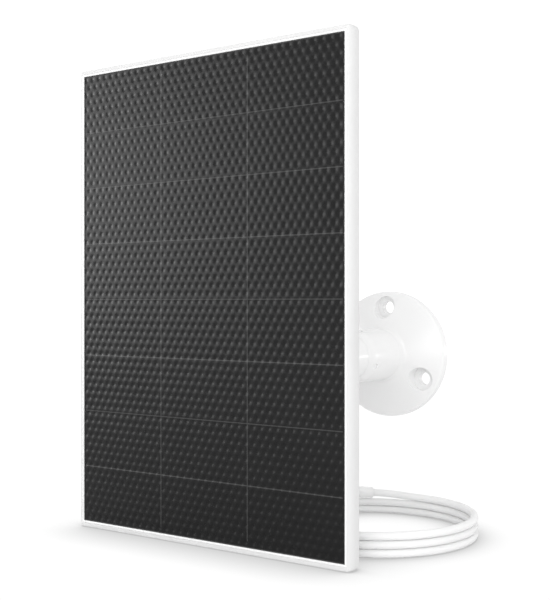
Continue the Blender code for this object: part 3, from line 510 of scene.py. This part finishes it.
# ------------------------------------------------------------------ shape helpers
def add_piece(name, bm, slot, body, sharp=32, replaces=()):
    """Closes the bmesh into a piece that rides on a body and stands for its CAD nodes."""
    bmesh.ops.recalc_face_normals(bm, faces=bm.faces)
    mesh = bpy.data.meshes.new(name)
    bm.to_mesh(mesh)
    bm.free()
    mesh.shade_smooth()
    mesh.set_sharp_from_angle(angle=math.radians(sharp))
    mesh.materials.append(materials[slot])
    piece = bpy.data.objects.new(name, mesh)
    bpy.context.scene.collection.objects.link(piece)
    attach(piece, body)
    if replaces:
        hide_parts(*replaces)
    return piece


def skin(loops, ring=False):
    """Joins loops of equal length with quads. A ring closes on itself, else the ends are capped."""
    bm = bmesh.new()
    rows = [[bm.verts.new(point) for point in loop] for loop in loops]
    count = len(rows[0])
    last = len(rows) if ring else len(rows) - 1
    for i in range(last):
        here, there = rows[i], rows[(i + 1) % len(rows)]
        for j in range(count):
            k = (j + 1) % count
            bm.faces.new((here[j], here[k], there[k], there[j]))
    if not ring:
        bm.faces.new(rows[0])
        bm.faces.new(reversed(rows[-1]))
    return bm


def soften(outline, steps=4):
    """Rounds the corners of a closed outline of (radius, length, rounding) points."""
    rounded = []
    count = len(outline)
    for i, (radius, length, rounding) in enumerate(outline):
        here = Vector((radius, length))
        if rounding == 0:
            rounded.append((radius, length))
            continue
        before = Vector(outline[i - 1][:2]) - here
        after = Vector(outline[(i + 1) % count][:2]) - here
        start = here + before.normalized() * min(rounding, before.length * 0.48)
        end = here + after.normalized() * min(rounding, after.length * 0.48)
        for step in range(steps + 1):
            t = step / steps
            point = start * (1 - t) ** 2 + here * (2 * t * (1 - t)) + end * t ** 2
            rounded.append((point.x, point.y))
    return rounded


def about(x, z, y_start):
    """Places points round an axis along +Y: radius, angle from +X seen from the front, and length."""
    def place(radius, angle, along):
        return (x + radius * math.cos(angle), y_start + along, z + radius * math.sin(angle))
    return place


bracket_point = about(0.0, AXIS_Z, Y_BALL)


def turned(profile, steps, place=bracket_point):
    """Spins a closed outline of (radius, length) about an axis. Points on the axis become one."""
    bm = bmesh.new()
    rings = []
    for radius, along in profile:
        count = steps if radius > 0 else 1
        rings.append([bm.verts.new(place(radius, math.tau * i / steps, along)) for i in range(count)])
    for here, there in zip(rings, rings[1:] + rings[:1]):
        if len(here) == 1 and len(there) == 1:
            continue
        for i in range(steps):
            k = (i + 1) % steps
            corners = (here[i % len(here)], here[k % len(here)],
                       there[k % len(there)], there[i % len(there)])
            bm.faces.new(list(dict.fromkeys(corners)))
    return bm


def arc(radius, start, end, steps):
    """Points of an arc round the ball's centre, as (radius, length), degrees up from its equator."""
    angles = [math.radians(start + (end - start) * i / steps) for i in range(steps + 1)]
    return [(radius * math.cos(angle), radius * math.sin(angle)) for angle in angles]


def quarter(radius, steps):
    """Insets and depths of a rounded edge, from the face to the side."""
    angles = [math.radians(90 * i / steps) for i in range(steps + 1)]
    return [(radius * (1 - math.sin(angle)), radius * (1 - math.cos(angle))) for angle in angles]


def rounded_loop(half_x, half_z, corner, y, middle_z=PANEL_MIDDLE_Z, steps=10):
    """One rounded rectangle that faces along Y."""
    centres = ((half_x - corner, half_z - corner, 0), (corner - half_x, half_z - corner, 90),
               (corner - half_x, corner - half_z, 180), (half_x - corner, corner - half_z, 270))
    loop = []
    for x, z, start in centres:
        for step in range(steps + 1):
            angle = math.radians(start + 90 * step / steps)
            loop.append((x + corner * math.cos(angle), y, middle_z + z + corner * math.sin(angle)))
    return loop


def panel_loop(inset, depth, level_inset=None):
    """The panel's outline, drawn in by an inset, which may differ at the top and bottom edges.

    Its corners get tighter, down to an almost square opening.
    """
    if level_inset is None:
        level_inset = inset
    return rounded_loop(PANEL_WIDTH / 2 - inset, PANEL_HEIGHT / 2 - level_inset,
                        max(FRAME_CORNER - inset, OPENING_CORNER), Y_FRONT + depth)


def combine(piece, tool, operation):
    """Joins the tool's shape to the piece for good, or keeps what both share, and removes the tool."""
    modifier = piece.modifiers.new("combine", "BOOLEAN")
    modifier.operation = operation
    modifier.solver = "EXACT"
    modifier.object = tool
    bake_modifiers(piece)
    bpy.data.objects.remove(tool, do_unlink=True)


def cut(piece, tool):
    combine(piece, tool, "DIFFERENCE")


def bake_modifiers(piece):
    view = bpy.context.evaluated_depsgraph_get()
    mesh = bpy.data.meshes.new_from_object(piece.evaluated_get(view))
    piece.modifiers.clear()
    piece.data = mesh


def ease_edges(piece, width, angle=35, segments=3):
    """Rounds the sharp edges that cuts have left, and shades the piece smooth again."""
    modifier = piece.modifiers.new("ease", "BEVEL")
    modifier.width = width
    modifier.segments = segments
    modifier.limit_method = "ANGLE"
    modifier.angle_limit = math.radians(angle)
    bake_modifiers(piece)
    piece.data.shade_smooth()
    piece.data.set_sharp_from_angle(angle=math.radians(angle))


def tool_from(bm):
    bmesh.ops.recalc_face_normals(bm, faces=bm.faces)
    mesh = bpy.data.meshes.new("tool")
    bm.to_mesh(mesh)
    bm.free()
    tool = bpy.data.objects.new("tool", mesh)
    bpy.context.scene.collection.objects.link(tool)
    return tool


# ------------------------------------------------------------------ panel
def make_frame():
    """Thin frame with softly rounded upright edges, a groove for the bead and a ledge behind the film."""
    stretch = FRONT_ROUND_DEPTH / FRONT_ROUND
    outer = [(inset, depth * stretch) for inset, depth in quarter(FRONT_ROUND, 12)]
    back = [(inset, FRAME_DEPTH - depth) for inset, depth in quarter(BACK_ROUND, 6)][::-1]
    groove_floor = BEAD_DEPTH + BEAD_GAP
    lip = [(BEZEL, LEDGE_FRONT), (BEZEL, groove_floor), (BEAD_OUTER - BEAD_GAP, groove_floor),
           (BEAD_OUTER - BEAD_GAP, 0.08 * MM), (BEAD_OUTER - 0.09 * MM, 0.0)]
    inner = [(LEDGE_INSET, FRAME_DEPTH), (LEDGE_INSET, LEDGE_FRONT)] + lip
    loops = [panel_loop(inset, depth, LEVEL_EDGE_ROUND * inset) for inset, depth in outer]
    loops += [panel_loop(inset, depth) for inset, depth in back + inner]
    add_piece("panel_frame", skin(loops, ring=True), "white_shell", "panel", 40, ["front_frame"])


def make_highlight_bead():
    """Glossy white bead that frames the film, set in a groove of the frame. It is of the whiter bracket
    plastic, so it paints the frame's lit inner edge as a highlight brighter than the frame's own plastic.
    """
    outline = [(BEAD_OUTER, BEAD_DEPTH), (BEAD_OUTER, 0.1 * MM), (BEAD_OUTER + 0.08 * MM, 0.0),
               (BEZEL - 0.12 * MM, 0.0), (BEZEL - 0.02 * MM, 0.12 * MM), (BEZEL, BEAD_DEPTH)]
    loops = [panel_loop(inset, depth) for inset, depth in outline]
    # painted highlight: the whiter bracket plastic keeps the frame's inner edge brighter than the frame's
    # own plastic
    add_piece("film_highlight_bead", skin(loops, ring=True), "white_bracket", "panel", 50)


def make_film_shade_line():
    """Thin matt black line between the film and the frame: painted shade for the shadow in the narrow
    recess round the film.
    """
    outline = [(BEZEL + FILM_SHADE_LINE, SHADE_LINE_FRONT), (BEZEL, SHADE_LINE_FRONT), (BEZEL, SHADE_LINE_BACK),
               (BEZEL + FILM_SHADE_LINE, SHADE_LINE_BACK)]
    loops = [panel_loop(inset, depth) for inset, depth in outline]
    # painted shade: black rubber in place of the shadow in the recess round the film
    add_piece("film_edge_shade_line", skin(loops, ring=True), "black_rubber", "panel")


def dimple_depth(x, z):
    """How deep the embossing is at a point of the film: round dents on staggered rows."""
    x -= DIMPLE_SHIFT_X
    z -= DIMPLE_SHIFT_Z
    row = round(z / DIMPLE_ROW)
    depth = 0.0
    for candidate in (row - 1, row, row + 1):
        shift = 0.0 if candidate % 2 else DIMPLE_PITCH / 2
        column = round((x - shift) / DIMPLE_PITCH)
        across = (x - shift - column * DIMPLE_PITCH) / DIMPLE_SPREAD_X
        up = (z - candidate * DIMPLE_ROW) / DIMPLE_SPREAD_Z
        depth += math.exp(-(across * across + up * up) / 2)
    return DIMPLE_DEPTH * depth


def make_film():
    """Embossed sheet over the cells, as one grid of dents with straight sides and a flat back."""
    low = Vector((FILM_LOW.x, FILM_LOW.z))
    high = Vector((FILM_HIGH.x, FILM_HIGH.z))
    columns = round((high.x - low.x) / DIMPLE_PITCH * DIMPLE_STEPS_X)
    rows = round((high.y - low.y) / DIMPLE_ROW * DIMPLE_STEPS_Z)
    bm = bmesh.new()
    grid = []
    for i in range(rows + 1):
        z = low.y + (high.y - low.y) * i / rows
        line = []
        for j in range(columns + 1):
            x = low.x + (high.x - low.x) * j / columns
            edge = i in (0, rows) or j in (0, columns)
            depth = 0.0 if edge else dimple_depth(x, z - PANEL_MIDDLE_Z)
            line.append(bm.verts.new((x, FILM_LOW.y + depth, z)))
        grid.append(line)
    for i in range(rows):
        for j in range(columns):
            bm.faces.new((grid[i][j], grid[i][j + 1], grid[i + 1][j + 1], grid[i + 1][j]))
    right_side = [line[-1] for line in grid[1:]]
    left_side = [line[0] for line in grid[-2:0:-1]]
    border = grid[0] + right_side + grid[-1][-2::-1] + left_side
    behind = [bm.verts.new((v.co.x, FILM_HIGH.y, v.co.z)) for v in border]
    for i, (a, b) in enumerate(zip(border, behind)):
        k = (i + 1) % len(border)
        bm.faces.new((a, b, behind[k], border[k]))
    bm.faces.new(behind)
    add_piece("solar_film", bm, "black_film", "panel", 60, ["embossed_film"])


def screw_places():
    x = PANEL_WIDTH / 2 - SCREW_INSET
    z = PANEL_HEIGHT / 2 - SCREW_INSET
    return [(side * x, PANEL_MIDDLE_Z + end * z) for side, end in ((-1, 1), (1, 1), (1, -1), (-1, -1))]


def pod_loop(inset, depth):
    return rounded_loop(POD_WIDTH / 2 - inset, POD_HEIGHT / 2 - inset, POD_CORNER - inset,
                        Y_FRONT + depth, POD_MIDDLE_Z)


def make_cover():
    """Back plate with a raised pod, a boss for the bracket and sunk seats for its screws."""
    roof = POD_BACK - POD_WALL
    cavity = [(POD_CEILING_INSET, roof), (POD_CEILING_INSET - 0.6 * MM, roof - 0.2 * MM),
              (POD_CEILING_INSET - 0.8 * MM, roof - 0.8 * MM), (POD_WALL, COVER_FRONT)]
    edge = [(COVER_INSET + inset, COVER_BACK - depth) for inset, depth in quarter(COVER_EDGE, 6)][::-1]
    groove_floor = COVER_BACK - COVER_GROOVE_DEPTH
    groove = [(COVER_GROOVE_INSET, COVER_BACK), (COVER_GROOVE_INSET + COVER_GROOVE_DRAFT, groove_floor),
              (COVER_GROOVE_INSET + COVER_GROOVE_WIDTH - COVER_GROOVE_DRAFT, groove_floor),
              (COVER_GROOVE_INSET + COVER_GROOVE_WIDTH, COVER_BACK)]
    plate = [(COVER_INSET + 0.2 * MM, COVER_FRONT), (COVER_INSET, COVER_FRONT + 0.2 * MM)] + edge + groove
    pod = soften([(-6 * MM, COVER_BACK, 0), (-1.2 * MM, COVER_BACK, 1.8 * MM),
                  (0.9 * MM, POD_BACK, 3.2 * MM), (8 * MM, POD_BACK, 0)], 8)[1:-1]
    loops = ([pod_loop(inset, depth) for inset, depth in cavity]
             + [panel_loop(inset, depth) for inset, depth in plate]
             + [pod_loop(inset, depth) for inset, depth in pod])
    cover = add_piece("panel_back_cover", skin(loops), "white_shell", "panel", 30, ["back_cover"])
    at_boss = about(0, AXIS_Z, Y_FRONT)
    boss = soften([(0, roof + OVERLAP, 0), (BOSS_RADIUS, roof + OVERLAP, 0),
                   (BOSS_RADIUS, BOSS_BACK, 1.0 * MM), (0, BOSS_BACK, 0)])
    column = [(0, COLUMN_FRONT), (COLUMN_RADIUS, COLUMN_FRONT),
              (COLUMN_RADIUS, roof + 2 * OVERLAP), (0, roof + 2 * OVERLAP)]
    bore = [(0, 0), (INSERT_BORE, 0), (INSERT_BORE, BOSS_BACK + OVERRUN), (0, BOSS_BACK + OVERRUN)]
    combine(cover, tool_from(turned(boss, 96, at_boss)), "UNION")
    combine(cover, tool_from(turned(column, 64, at_boss)), "UNION")
    cut(cover, tool_from(turned(bore, 64, at_boss)))
    seat_floor = SCREW_HEAD_FRONT - FIT
    seat_radius = SCREW_HEAD_RADIUS + FIT
    seat = [(0, 0), (2 * SCREW_RADIUS, 0), (2 * SCREW_RADIUS, seat_floor), (seat_radius, seat_floor),
            (seat_radius, COVER_BACK + OVERRUN), (0, COVER_BACK + OVERRUN)]
    for x, z in screw_places():
        cut(cover, tool_from(turned(seat, 40, about(x, z, Y_FRONT))))

    def outlet(radius, angle, along):
        return (CORD_EXIT[0] + radius * math.cos(angle), CORD_EXIT[1] + radius * math.sin(angle),
                POD_MIDDLE_Z - POD_HEIGHT / 2 + along)

    reach = 6 * MM
    hole = [(0, -reach), (BUSH_HOLE, -reach), (BUSH_HOLE, reach), (0, reach)]
    cut(cover, tool_from(turned(hole, 40, outlet)))
    ease_edges(cover, 0.12 * MM, 40, 2)


def cut_cross(piece, middle, width, length, depth):
    """A cross recess in a screw head whose top faces +Y."""
    for size in ((length, 2 * depth, width), (width, 2 * depth, length)):
        bm = bmesh.new()
        bmesh.ops.create_cube(bm, size=1, matrix=Matrix.Translation(middle) @ Matrix.Diagonal((*size, 1)))
        cut(piece, tool_from(bm))


def make_cover_screws():
    """Four pan-head screws with cross recesses, in the corners of the back cover."""
    head = SCREW_HEAD_FRONT
    top = head + SCREW_HEAD_HEIGHT
    outline = soften([(0, SCREW_TIP, 0), (SCREW_RADIUS, SCREW_TIP, 0.2 * MM), (SCREW_RADIUS, head, 0),
                      (SCREW_HEAD_RADIUS, head, 0), (SCREW_HEAD_RADIUS, head + 0.6 * MM, 0.25 * MM),
                      (0.7 * SCREW_HEAD_RADIUS, top - 0.05 * MM, 0.5 * MM), (0, top, 0)])
    for number, (x, z) in enumerate(screw_places(), 1):
        screw = add_piece(f"pan_head_screw_{number}", turned(outline, 40, about(x, z, Y_FRONT)),
                          "steel", "panel", 30, [f"cover_screw_{number}"])
        cut_cross(screw, (x, Y_FRONT + top, z), *SCREW_CROSS)
        ease_edges(screw, 0.04 * MM, 35, 2)


# ------------------------------------------------------------------ bracket
def make_stud():
    """Threaded shank, spanner collar with two flats, neck and ball, turned from one bar."""
    neck = math.degrees(math.asin(STUD_RADIUS / BALL_RADIUS))
    thread = []
    turns = int((STUD_COLLAR_START - STUD_TIP - 1 * MM) / THREAD_PITCH)
    for i in range(turns):
        root = STUD_TIP + STUD_CHAMFER + i * THREAD_PITCH
        thread += [(STUD_RADIUS - THREAD_DEPTH, root), (STUD_RADIUS, root + THREAD_PITCH / 2)]
    collar = soften([(STUD_RADIUS, STUD_COLLAR_START - 0.3 * MM, 0), (STUD_RADIUS, STUD_COLLAR_START, 0),
                     (STUD_COLLAR_RADIUS, STUD_COLLAR_START, 0.3 * MM),
                     (STUD_COLLAR_RADIUS, STUD_COLLAR_END, 0.3 * MM),
                     (STUD_RADIUS, STUD_COLLAR_END, 0.5 * MM)])
    ball = arc(BALL_RADIUS, neck - 90, 90, 40)[:-1] + [(0, BALL_RADIUS)]
    outline = [(0, STUD_TIP), (STUD_RADIUS - STUD_CHAMFER, STUD_TIP)] + thread + collar + ball
    stud = add_piece("threaded_ball_stud", turned(outline, 72), "steel", "stud", 40, ["ball_stud"])
    collar_middle = Y_BALL + (STUD_COLLAR_START + STUD_COLLAR_END) / 2
    width = 4 * MM                      # of the block that cuts a flat, most of it outside the collar
    for side in (-1, 1):
        bm = bmesh.new()
        middle = (side * (STUD_COLLAR_RADIUS - FLAT_DEPTH + width / 2), collar_middle, AXIS_Z)
        size = Matrix.Diagonal((width, 3 * MM, 14 * MM, 1))
        bmesh.ops.create_cube(bm, size=1, matrix=Matrix.Translation(middle) @ size)
        cut(stud, tool_from(bm))
    stud.data.shade_smooth()
    stud.data.set_sharp_from_angle(angle=math.radians(35))


def make_lock_nut():
    """Chamfered hexagon nut that locks the stud against the boss."""
    flats = [math.tau * i / 6 for i in range(6)]
    loops = [[bracket_point(NUT_RADIUS, turn, along) for turn in flats] for along in (NUT_START, NUT_END)]
    nut = add_piece("hex_lock_nut", skin(loops), "steel", "lock_nut", 30, ["stud_lock_nut"])
    flat_radius = NUT_RADIUS * math.cos(math.radians(30))
    chamfer = [(0, NUT_START), (flat_radius, NUT_START), (NUT_RADIUS, NUT_START + NUT_CHAMFER),
               (NUT_RADIUS, NUT_END - NUT_CHAMFER), (flat_radius, NUT_END), (0, NUT_END)]
    combine(nut, tool_from(turned(chamfer, 96)), "INTERSECT")
    bore = [(0, NUT_START - OVERRUN), (STUD_RADIUS + FIT, NUT_START - OVERRUN),
            (STUD_RADIUS + FIT, NUT_END + OVERRUN), (0, NUT_END + OVERRUN)]
    cut(nut, tool_from(turned(bore, 64)))
    ease_edges(nut, 0.12 * MM, 25, 2)


def make_socket():
    """Cup for the ball's seat, a shoulder that curves in to the arm, and a tail inside the arm."""
    steps = 16
    shoulder = []
    for i in range(steps + 1):
        blend = 0.5 + 0.5 * math.cos(math.pi * i / steps)
        shoulder.append((ARM_RADIUS + (SOCKET_RADIUS - ARM_RADIUS) * blend,
                         SHOULDER_START + (SHOULDER_END - SHOULDER_START) * i / steps))
    inner = soften([(0, SOCKET_TAIL_END, 0), (SOCKET_TAIL_RADIUS, SOCKET_TAIL_END, 0.5 * MM),
                    (SOCKET_TAIL_RADIUS, ARM_START - FIT, 0), (ARM_RADIUS, ARM_START - FIT, 0.1 * MM)])
    outline = ([(CUP_RADIUS, SOCKET_MOUTH)] + arc(CUP_RADIUS, 0, 90, 24)[:-1] + [(0, CUP_RADIUS)]
               + inner + shoulder[::-1] + [(SOCKET_RADIUS, SOCKET_MOUTH)])
    add_piece("socket_shell", turned(outline, 120), "white_bracket", "arm", 35, ["ball_socket"])


def make_collar():
    """Clamp collar with finger grips. Its lip holds the ball in from the front."""
    lip = [(SEAT_INNER * math.sin(math.radians(a)), -SEAT_INNER * math.cos(math.radians(a)), 0)
           for a in COLLAR_LIP_ANGLES]
    step = SOCKET_MOUTH - FIT
    bore = SOCKET_RADIUS + FIT
    outline = soften(lip + [(COLLAR_MOUTH, COLLAR_FRONT, 0.4 * MM), (COLLAR_RADIUS, COLLAR_FRONT, 2.6 * MM),
                            (COLLAR_RADIUS, COLLAR_BACK, 0.9 * MM), (bore, COLLAR_BACK, 0.3 * MM),
                            (bore, step, 0), (SEAT_INNER + 0.6 * MM, step, 0)], 6)
    collar = add_piece("grip_collar", turned(outline, 144), "white_bracket", "collar", 35, ["clamp_collar"])
    grip_end = COLLAR_BACK + OVERRUN
    grip = [(0, GRIP_START), (GRIP_RADIUS, GRIP_START), (GRIP_RADIUS, grip_end), (0, grip_end)]
    for number in range(GRIPS):
        turn = math.tau * number / GRIPS
        place = about(GRIP_CIRCLE * math.cos(turn), AXIS_Z + GRIP_CIRCLE * math.sin(turn), Y_BALL)
        cut(collar, tool_from(turned(grip, 32, place)))
    ease_edges(collar, 0.22 * MM, 30, 3)


def make_arm():
    """Straight tube with a groove for the friction ring, inside the hub."""
    arm_end = ARM_HIGH.y - Y_BALL
    inner = ARM_RADIUS - ARM_WALL
    outline = soften([(inner, ARM_START, 0.3 * MM), (ARM_RADIUS, ARM_START, 0.1 * MM),
                      (ARM_RADIUS, RING_START - FIT, 0), (RING_GROOVE, RING_START - FIT, 0),
                      (RING_GROOVE, RING_END + FIT, 0), (ARM_RADIUS, RING_END + FIT, 0),
                      (ARM_RADIUS, arm_end, 0.6 * MM), (inner, arm_end, 0.3 * MM)])
    add_piece("bracket_arm", turned(outline, 120), "white_bracket", "arm", 35, ["arm_tube"])


def make_pivot():
    """Washer and screw that hold the arm in the base, seen in the pocket in the base's back."""
    washer_start = POCKET_FLOOR + FIT
    washer_end = washer_start + WASHER_THICKNESS
    washer = soften([(2 * MM, washer_start, 0), (WASHER_RADIUS, washer_start, 0.1 * MM),
                     (WASHER_RADIUS, washer_end, 0.3 * MM), (2 * MM, washer_end, 0.1 * MM)])
    add_piece("flat_washer", turned(washer, 80), "steel", "arm", 35, ["swivel_washer"])
    tip = ARM_HIGH.y - Y_BALL - PIVOT_REACH
    head = washer_end + FIT
    top = head + PIVOT_HEAD_HEIGHT
    outline = soften([(0, tip, 0), (PIVOT_RADIUS, tip, 0.5 * MM), (PIVOT_RADIUS, head, 0),
                      (PIVOT_HEAD_RADIUS, head, 0), (PIVOT_HEAD_RADIUS, head + 1.7 * MM, 0.9 * MM),
                      (0.5 * PIVOT_HEAD_RADIUS, top - 0.1 * MM, 0.8 * MM), (0, top, 0)])
    screw = add_piece("pivot_screw", turned(outline, 64), "steel", "arm", 30, ["swivel_screw"])
    cut_cross(screw, (0, Y_BALL + top, AXIS_Z), *PIVOT_CROSS)
    ease_edges(screw, 0.06 * MM, 35, 2)


def make_base():
    """Wall base: hub, cone with three screw seats, and a pocket for the swivel screw at the back."""
    rim_front = BASE_BACK - BASE_RIM
    mouth = ARM_RADIUS + HUB_MOUTH_GAP
    outline = [(mouth, HUB_FRONT, 0), (HUB_RADIUS, HUB_FRONT + HUB_TAPER, 2.5 * MM),
               (HUB_RADIUS, rim_front - BASE_CONE, 1.9 * MM), (BASE_RADIUS, rim_front, 1.0 * MM),
               (BASE_RADIUS, BASE_BACK, 0.7 * MM), (POCKET_RADIUS, BASE_BACK, 0.4 * MM),
               (POCKET_RADIUS, POCKET_FLOOR, 0.4 * MM), (PIVOT_HOLE, POCKET_FLOOR, 0),
               (PIVOT_HOLE, HUB_FLOOR, 0), (HUB_BORE, HUB_FLOOR, 0.2 * MM),
               (HUB_BORE, HUB_FRONT + HUB_LIP + 0.3 * MM, 0), (mouth, HUB_FRONT + HUB_LIP, 0)]
    base = add_piece("bracket_base", turned(soften(outline, 6), 144), "white_bracket", "base", 35,
                     ["wall_base"])
    before = BASE_BACK - 20 * MM        # in front of the cone, wherever the seat is
    behind = BASE_BACK + OVERRUN
    seat = [(0, before), (WALL_SCREW_SEAT, before), (WALL_SCREW_SEAT, WALL_SCREW_FLOOR),
            (WALL_SCREW_HOLE, WALL_SCREW_FLOOR), (WALL_SCREW_HOLE, behind), (0, behind)]
    for angle in WALL_SCREW_ANGLES:
        x = WALL_SCREW_CIRCLE * math.cos(math.radians(angle))
        z = AXIS_Z + WALL_SCREW_CIRCLE * math.sin(math.radians(angle))
        cut(base, tool_from(turned(seat, 64, about(x, z, Y_BALL))))
    ease_edges(base, 0.5 * MM)
    height = 4 * MM                     # of the block that cuts a notch, most of it outside the hub
    middle = Matrix.Translation((HUB_RADIUS + height / 2 - NOTCH_DEPTH, 0, 0))
    size = Matrix.Diagonal((height, 2 * NOTCH_LENGTH, NOTCH_WIDTH, 1))
    hub = Matrix.Translation((0, Y_BALL + HUB_FRONT, AXIS_Z))
    for angle in NOTCH_ANGLES:
        turn = Matrix.Rotation(-math.radians(angle), 4, "Y")
        bm = bmesh.new()
        bmesh.ops.create_cube(bm, size=1, matrix=hub @ turn @ middle @ size)
        cut(base, tool_from(bm))
    ease_edges(base, 0.1 * MM, 50, 2)


# ------------------------------------------------------------------ lead
def smooth_step(t):
    return t * t * (3 - 2 * t)


def coil_height(angle):
    """Height of the cord's middle along the coil: level turns, with a short climb between them."""
    height = CORD_RADIUS
    for start, end, rise in COIL_CLIMBS:
        height += rise * smooth_step(min(max((angle - start) / (end - start), 0), 1))
    return height


def on_coil(angle, height):
    return (COIL_CENTRE[0] + COIL_RADIUS * math.cos(math.radians(angle)),
            COIL_CENTRE[1] + COIL_RADIUS * math.sin(math.radians(angle)), height)


def smooth_route(points):
    """Points of a Catmull-Rom curve through the route."""
    route = [Vector(p) for p in points]
    route = [2 * route[0] - route[1]] + route + [2 * route[-1] - route[-2]]
    fine = []
    for i in range(1, len(route) - 2):
        before, start, end, after = route[i - 1:i + 3]
        for step in range(ROUTE_STEPS):
            t = step / ROUTE_STEPS
            fine.append(0.5 * (2 * start + (end - before) * t
                               + (2 * before - 5 * start + 4 * end - after) * t * t
                               + (3 * start - before - 3 * end + after) * t ** 3))
    fine.append(route[-2])
    return fine


def ribbed(start_radius, end_radius, start, end, groove):
    """Outline of a tapered strain relief, with grooves of this depth between its ribs."""
    outline = []
    count = 2 * BOOT_RIBS + 1
    for i in range(count):
        t = i / (count - 1)
        radius = start_radius + (end_radius - start_radius) * t
        outline.append((radius - (groove if i % 2 else 0.0), start + (end - start) * t))
    return outline


def make_boot():
    """Ribbed strain relief under the pod, with the flange that holds it in its bush."""
    def below(radius, angle, along):
        return (CORD_EXIT[0] + radius * math.cos(angle), CORD_EXIT[1] + radius * math.sin(angle),
                BOOT_TOP - along)

    length = BOOT_TOP - BOOT_END
    flange = [(0, 0, 0), (2.9 * MM, 0, 0.2 * MM), (2.9 * MM, 1.4 * MM, 0.4 * MM), (2.45 * MM, 1.9 * MM, 0)]
    ribs = ribbed(2.4 * MM, 1.95 * MM, 2.2 * MM, length - 0.4 * MM, BOOT_GROOVE)
    outline = soften(flange) + ribs + [(1.8 * MM, length), (0, length)]
    return add_piece("cord_strain_relief", turned(outline, 48, below), "white_cord", "panel", 25,
                     ["cord_boot"])


def make_plug():
    """Ribbed boot and moulded grip of the plug, on the CAD's line at the end of the top turn."""
    heading = math.radians(PLUG_HEADING)
    rise = math.radians(PLUG_RISE)
    level = math.cos(rise)
    forward = Vector((math.cos(heading) * level, math.sin(heading) * level, math.sin(rise)))
    side = Vector((0, 0, 1)).cross(forward).normalized()
    up = forward.cross(side)
    start = Vector(on_coil(COIL_END, PLUG_START_Z))

    def at(x, y, along):
        return start + side * x + up * y + forward * along

    def round_at(radius, angle, along):
        return at(radius * math.cos(angle), radius * math.sin(angle), along)

    ribs = ribbed(2.3 * MM, 2.5 * MM, 0.4 * MM, PLUG_BOOT_LENGTH - 0.4 * MM, PLUG_BOOT_GROOVE)
    outline = [(0, 0), (2.1 * MM, 0)] + ribs + [(2.5 * MM, PLUG_BOOT_LENGTH), (0, PLUG_BOOT_LENGTH)]
    boot = add_piece("plug_strain_relief", turned(outline, 48, round_at), "white_cord", "panel", 25,
                     ["plug_boot"])
    loops = []
    body_start = PLUG_BOOT_LENGTH + FIT
    steps = 8
    stations = [(PLUG_TAPER * i / steps, 0.0) for i in range(steps + 1)]
    stations += [(PLUG_BODY_LENGTH - depth, inset) for inset, depth in quarter(PLUG_END_ROUND, 5)[::-1]]
    for along, inset in stations:
        swell = smooth_step(min(along / PLUG_TAPER, 1))
        half_x = PLUG_WIDTH / 2 * (PLUG_NECK_WIDTH + (1 - PLUG_NECK_WIDTH) * swell) - inset
        half_y = PLUG_THICKNESS / 2 * (PLUG_NECK_THICKNESS + (1 - PLUG_NECK_THICKNESS) * swell) - inset
        corner = (2.2 + 0.5 * swell) * MM - inset
        section = rounded_loop(half_x, half_y, corner, y=0, middle_z=0)
        loops.append([at(x, z, body_start + along) for x, _, z in section])
    grip = add_piece("plug_grip", skin(loops), "white_cord", "panel", 35, ["plug_body"])
    return [boot, grip]


def make_cord():
    """One cord along the lead's route and round the coil, with its strain relief and plug."""
    angles = list(range(COIL_START, COIL_END, COIL_STEP)) + [COIL_END]
    coil = [on_coil(angle, coil_height(angle)) for angle in angles]
    lead = smooth_route(LEAD_ROUTE + coil[:2])
    points = lead[:-ROUTE_STEPS] + [Vector(point) for point in coil]
    curve = bpy.data.curves.new("charging_cord", "CURVE")
    curve.dimensions = "3D"
    curve.bevel_depth = CORD_RADIUS
    curve.bevel_resolution = 5
    curve.use_fill_caps = True
    curve.materials.append(materials["white_cord"])
    spline = curve.splines.new("POLY")
    spline.points.add(len(points) - 1)
    for point, place in zip(spline.points, points):
        point.co = (*place, 1.0)
    cord = bpy.data.objects.new("charging_cord", curve)
    bpy.context.scene.collection.objects.link(cord)
    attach(cord, "panel")
    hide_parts("cord_lead", "cord_coil")
    nodes = frame["nodes"]
    carried = [make_boot()] + make_plug() + [nodes["plug_shell"], nodes["plug_tongue"]]


# ------------------------------------------------------------------ CAD nodes that stay
def finish_cad_nodes():
    """Gives every CAD node the material of its slot, whether a piece stands for it or not."""
    slots = {part["node"]: part["material_slot"] for part in frame["record"]["subparts"]}
    for name, node in frame["nodes"].items():
        node.data.materials.clear()
        node.data.materials.append(materials[slots[name]])


materials = make_materials()
make_camera()
make_world()
make_stage()
make_lights()
make_cord()
make_frame()
make_highlight_bead()
make_film_shade_line()
make_film()
make_cover()
make_cover_screws()
make_stud()
make_lock_nut()
make_collar()
make_socket()
make_arm()
make_pivot()
make_base()
finish_cad_nodes()
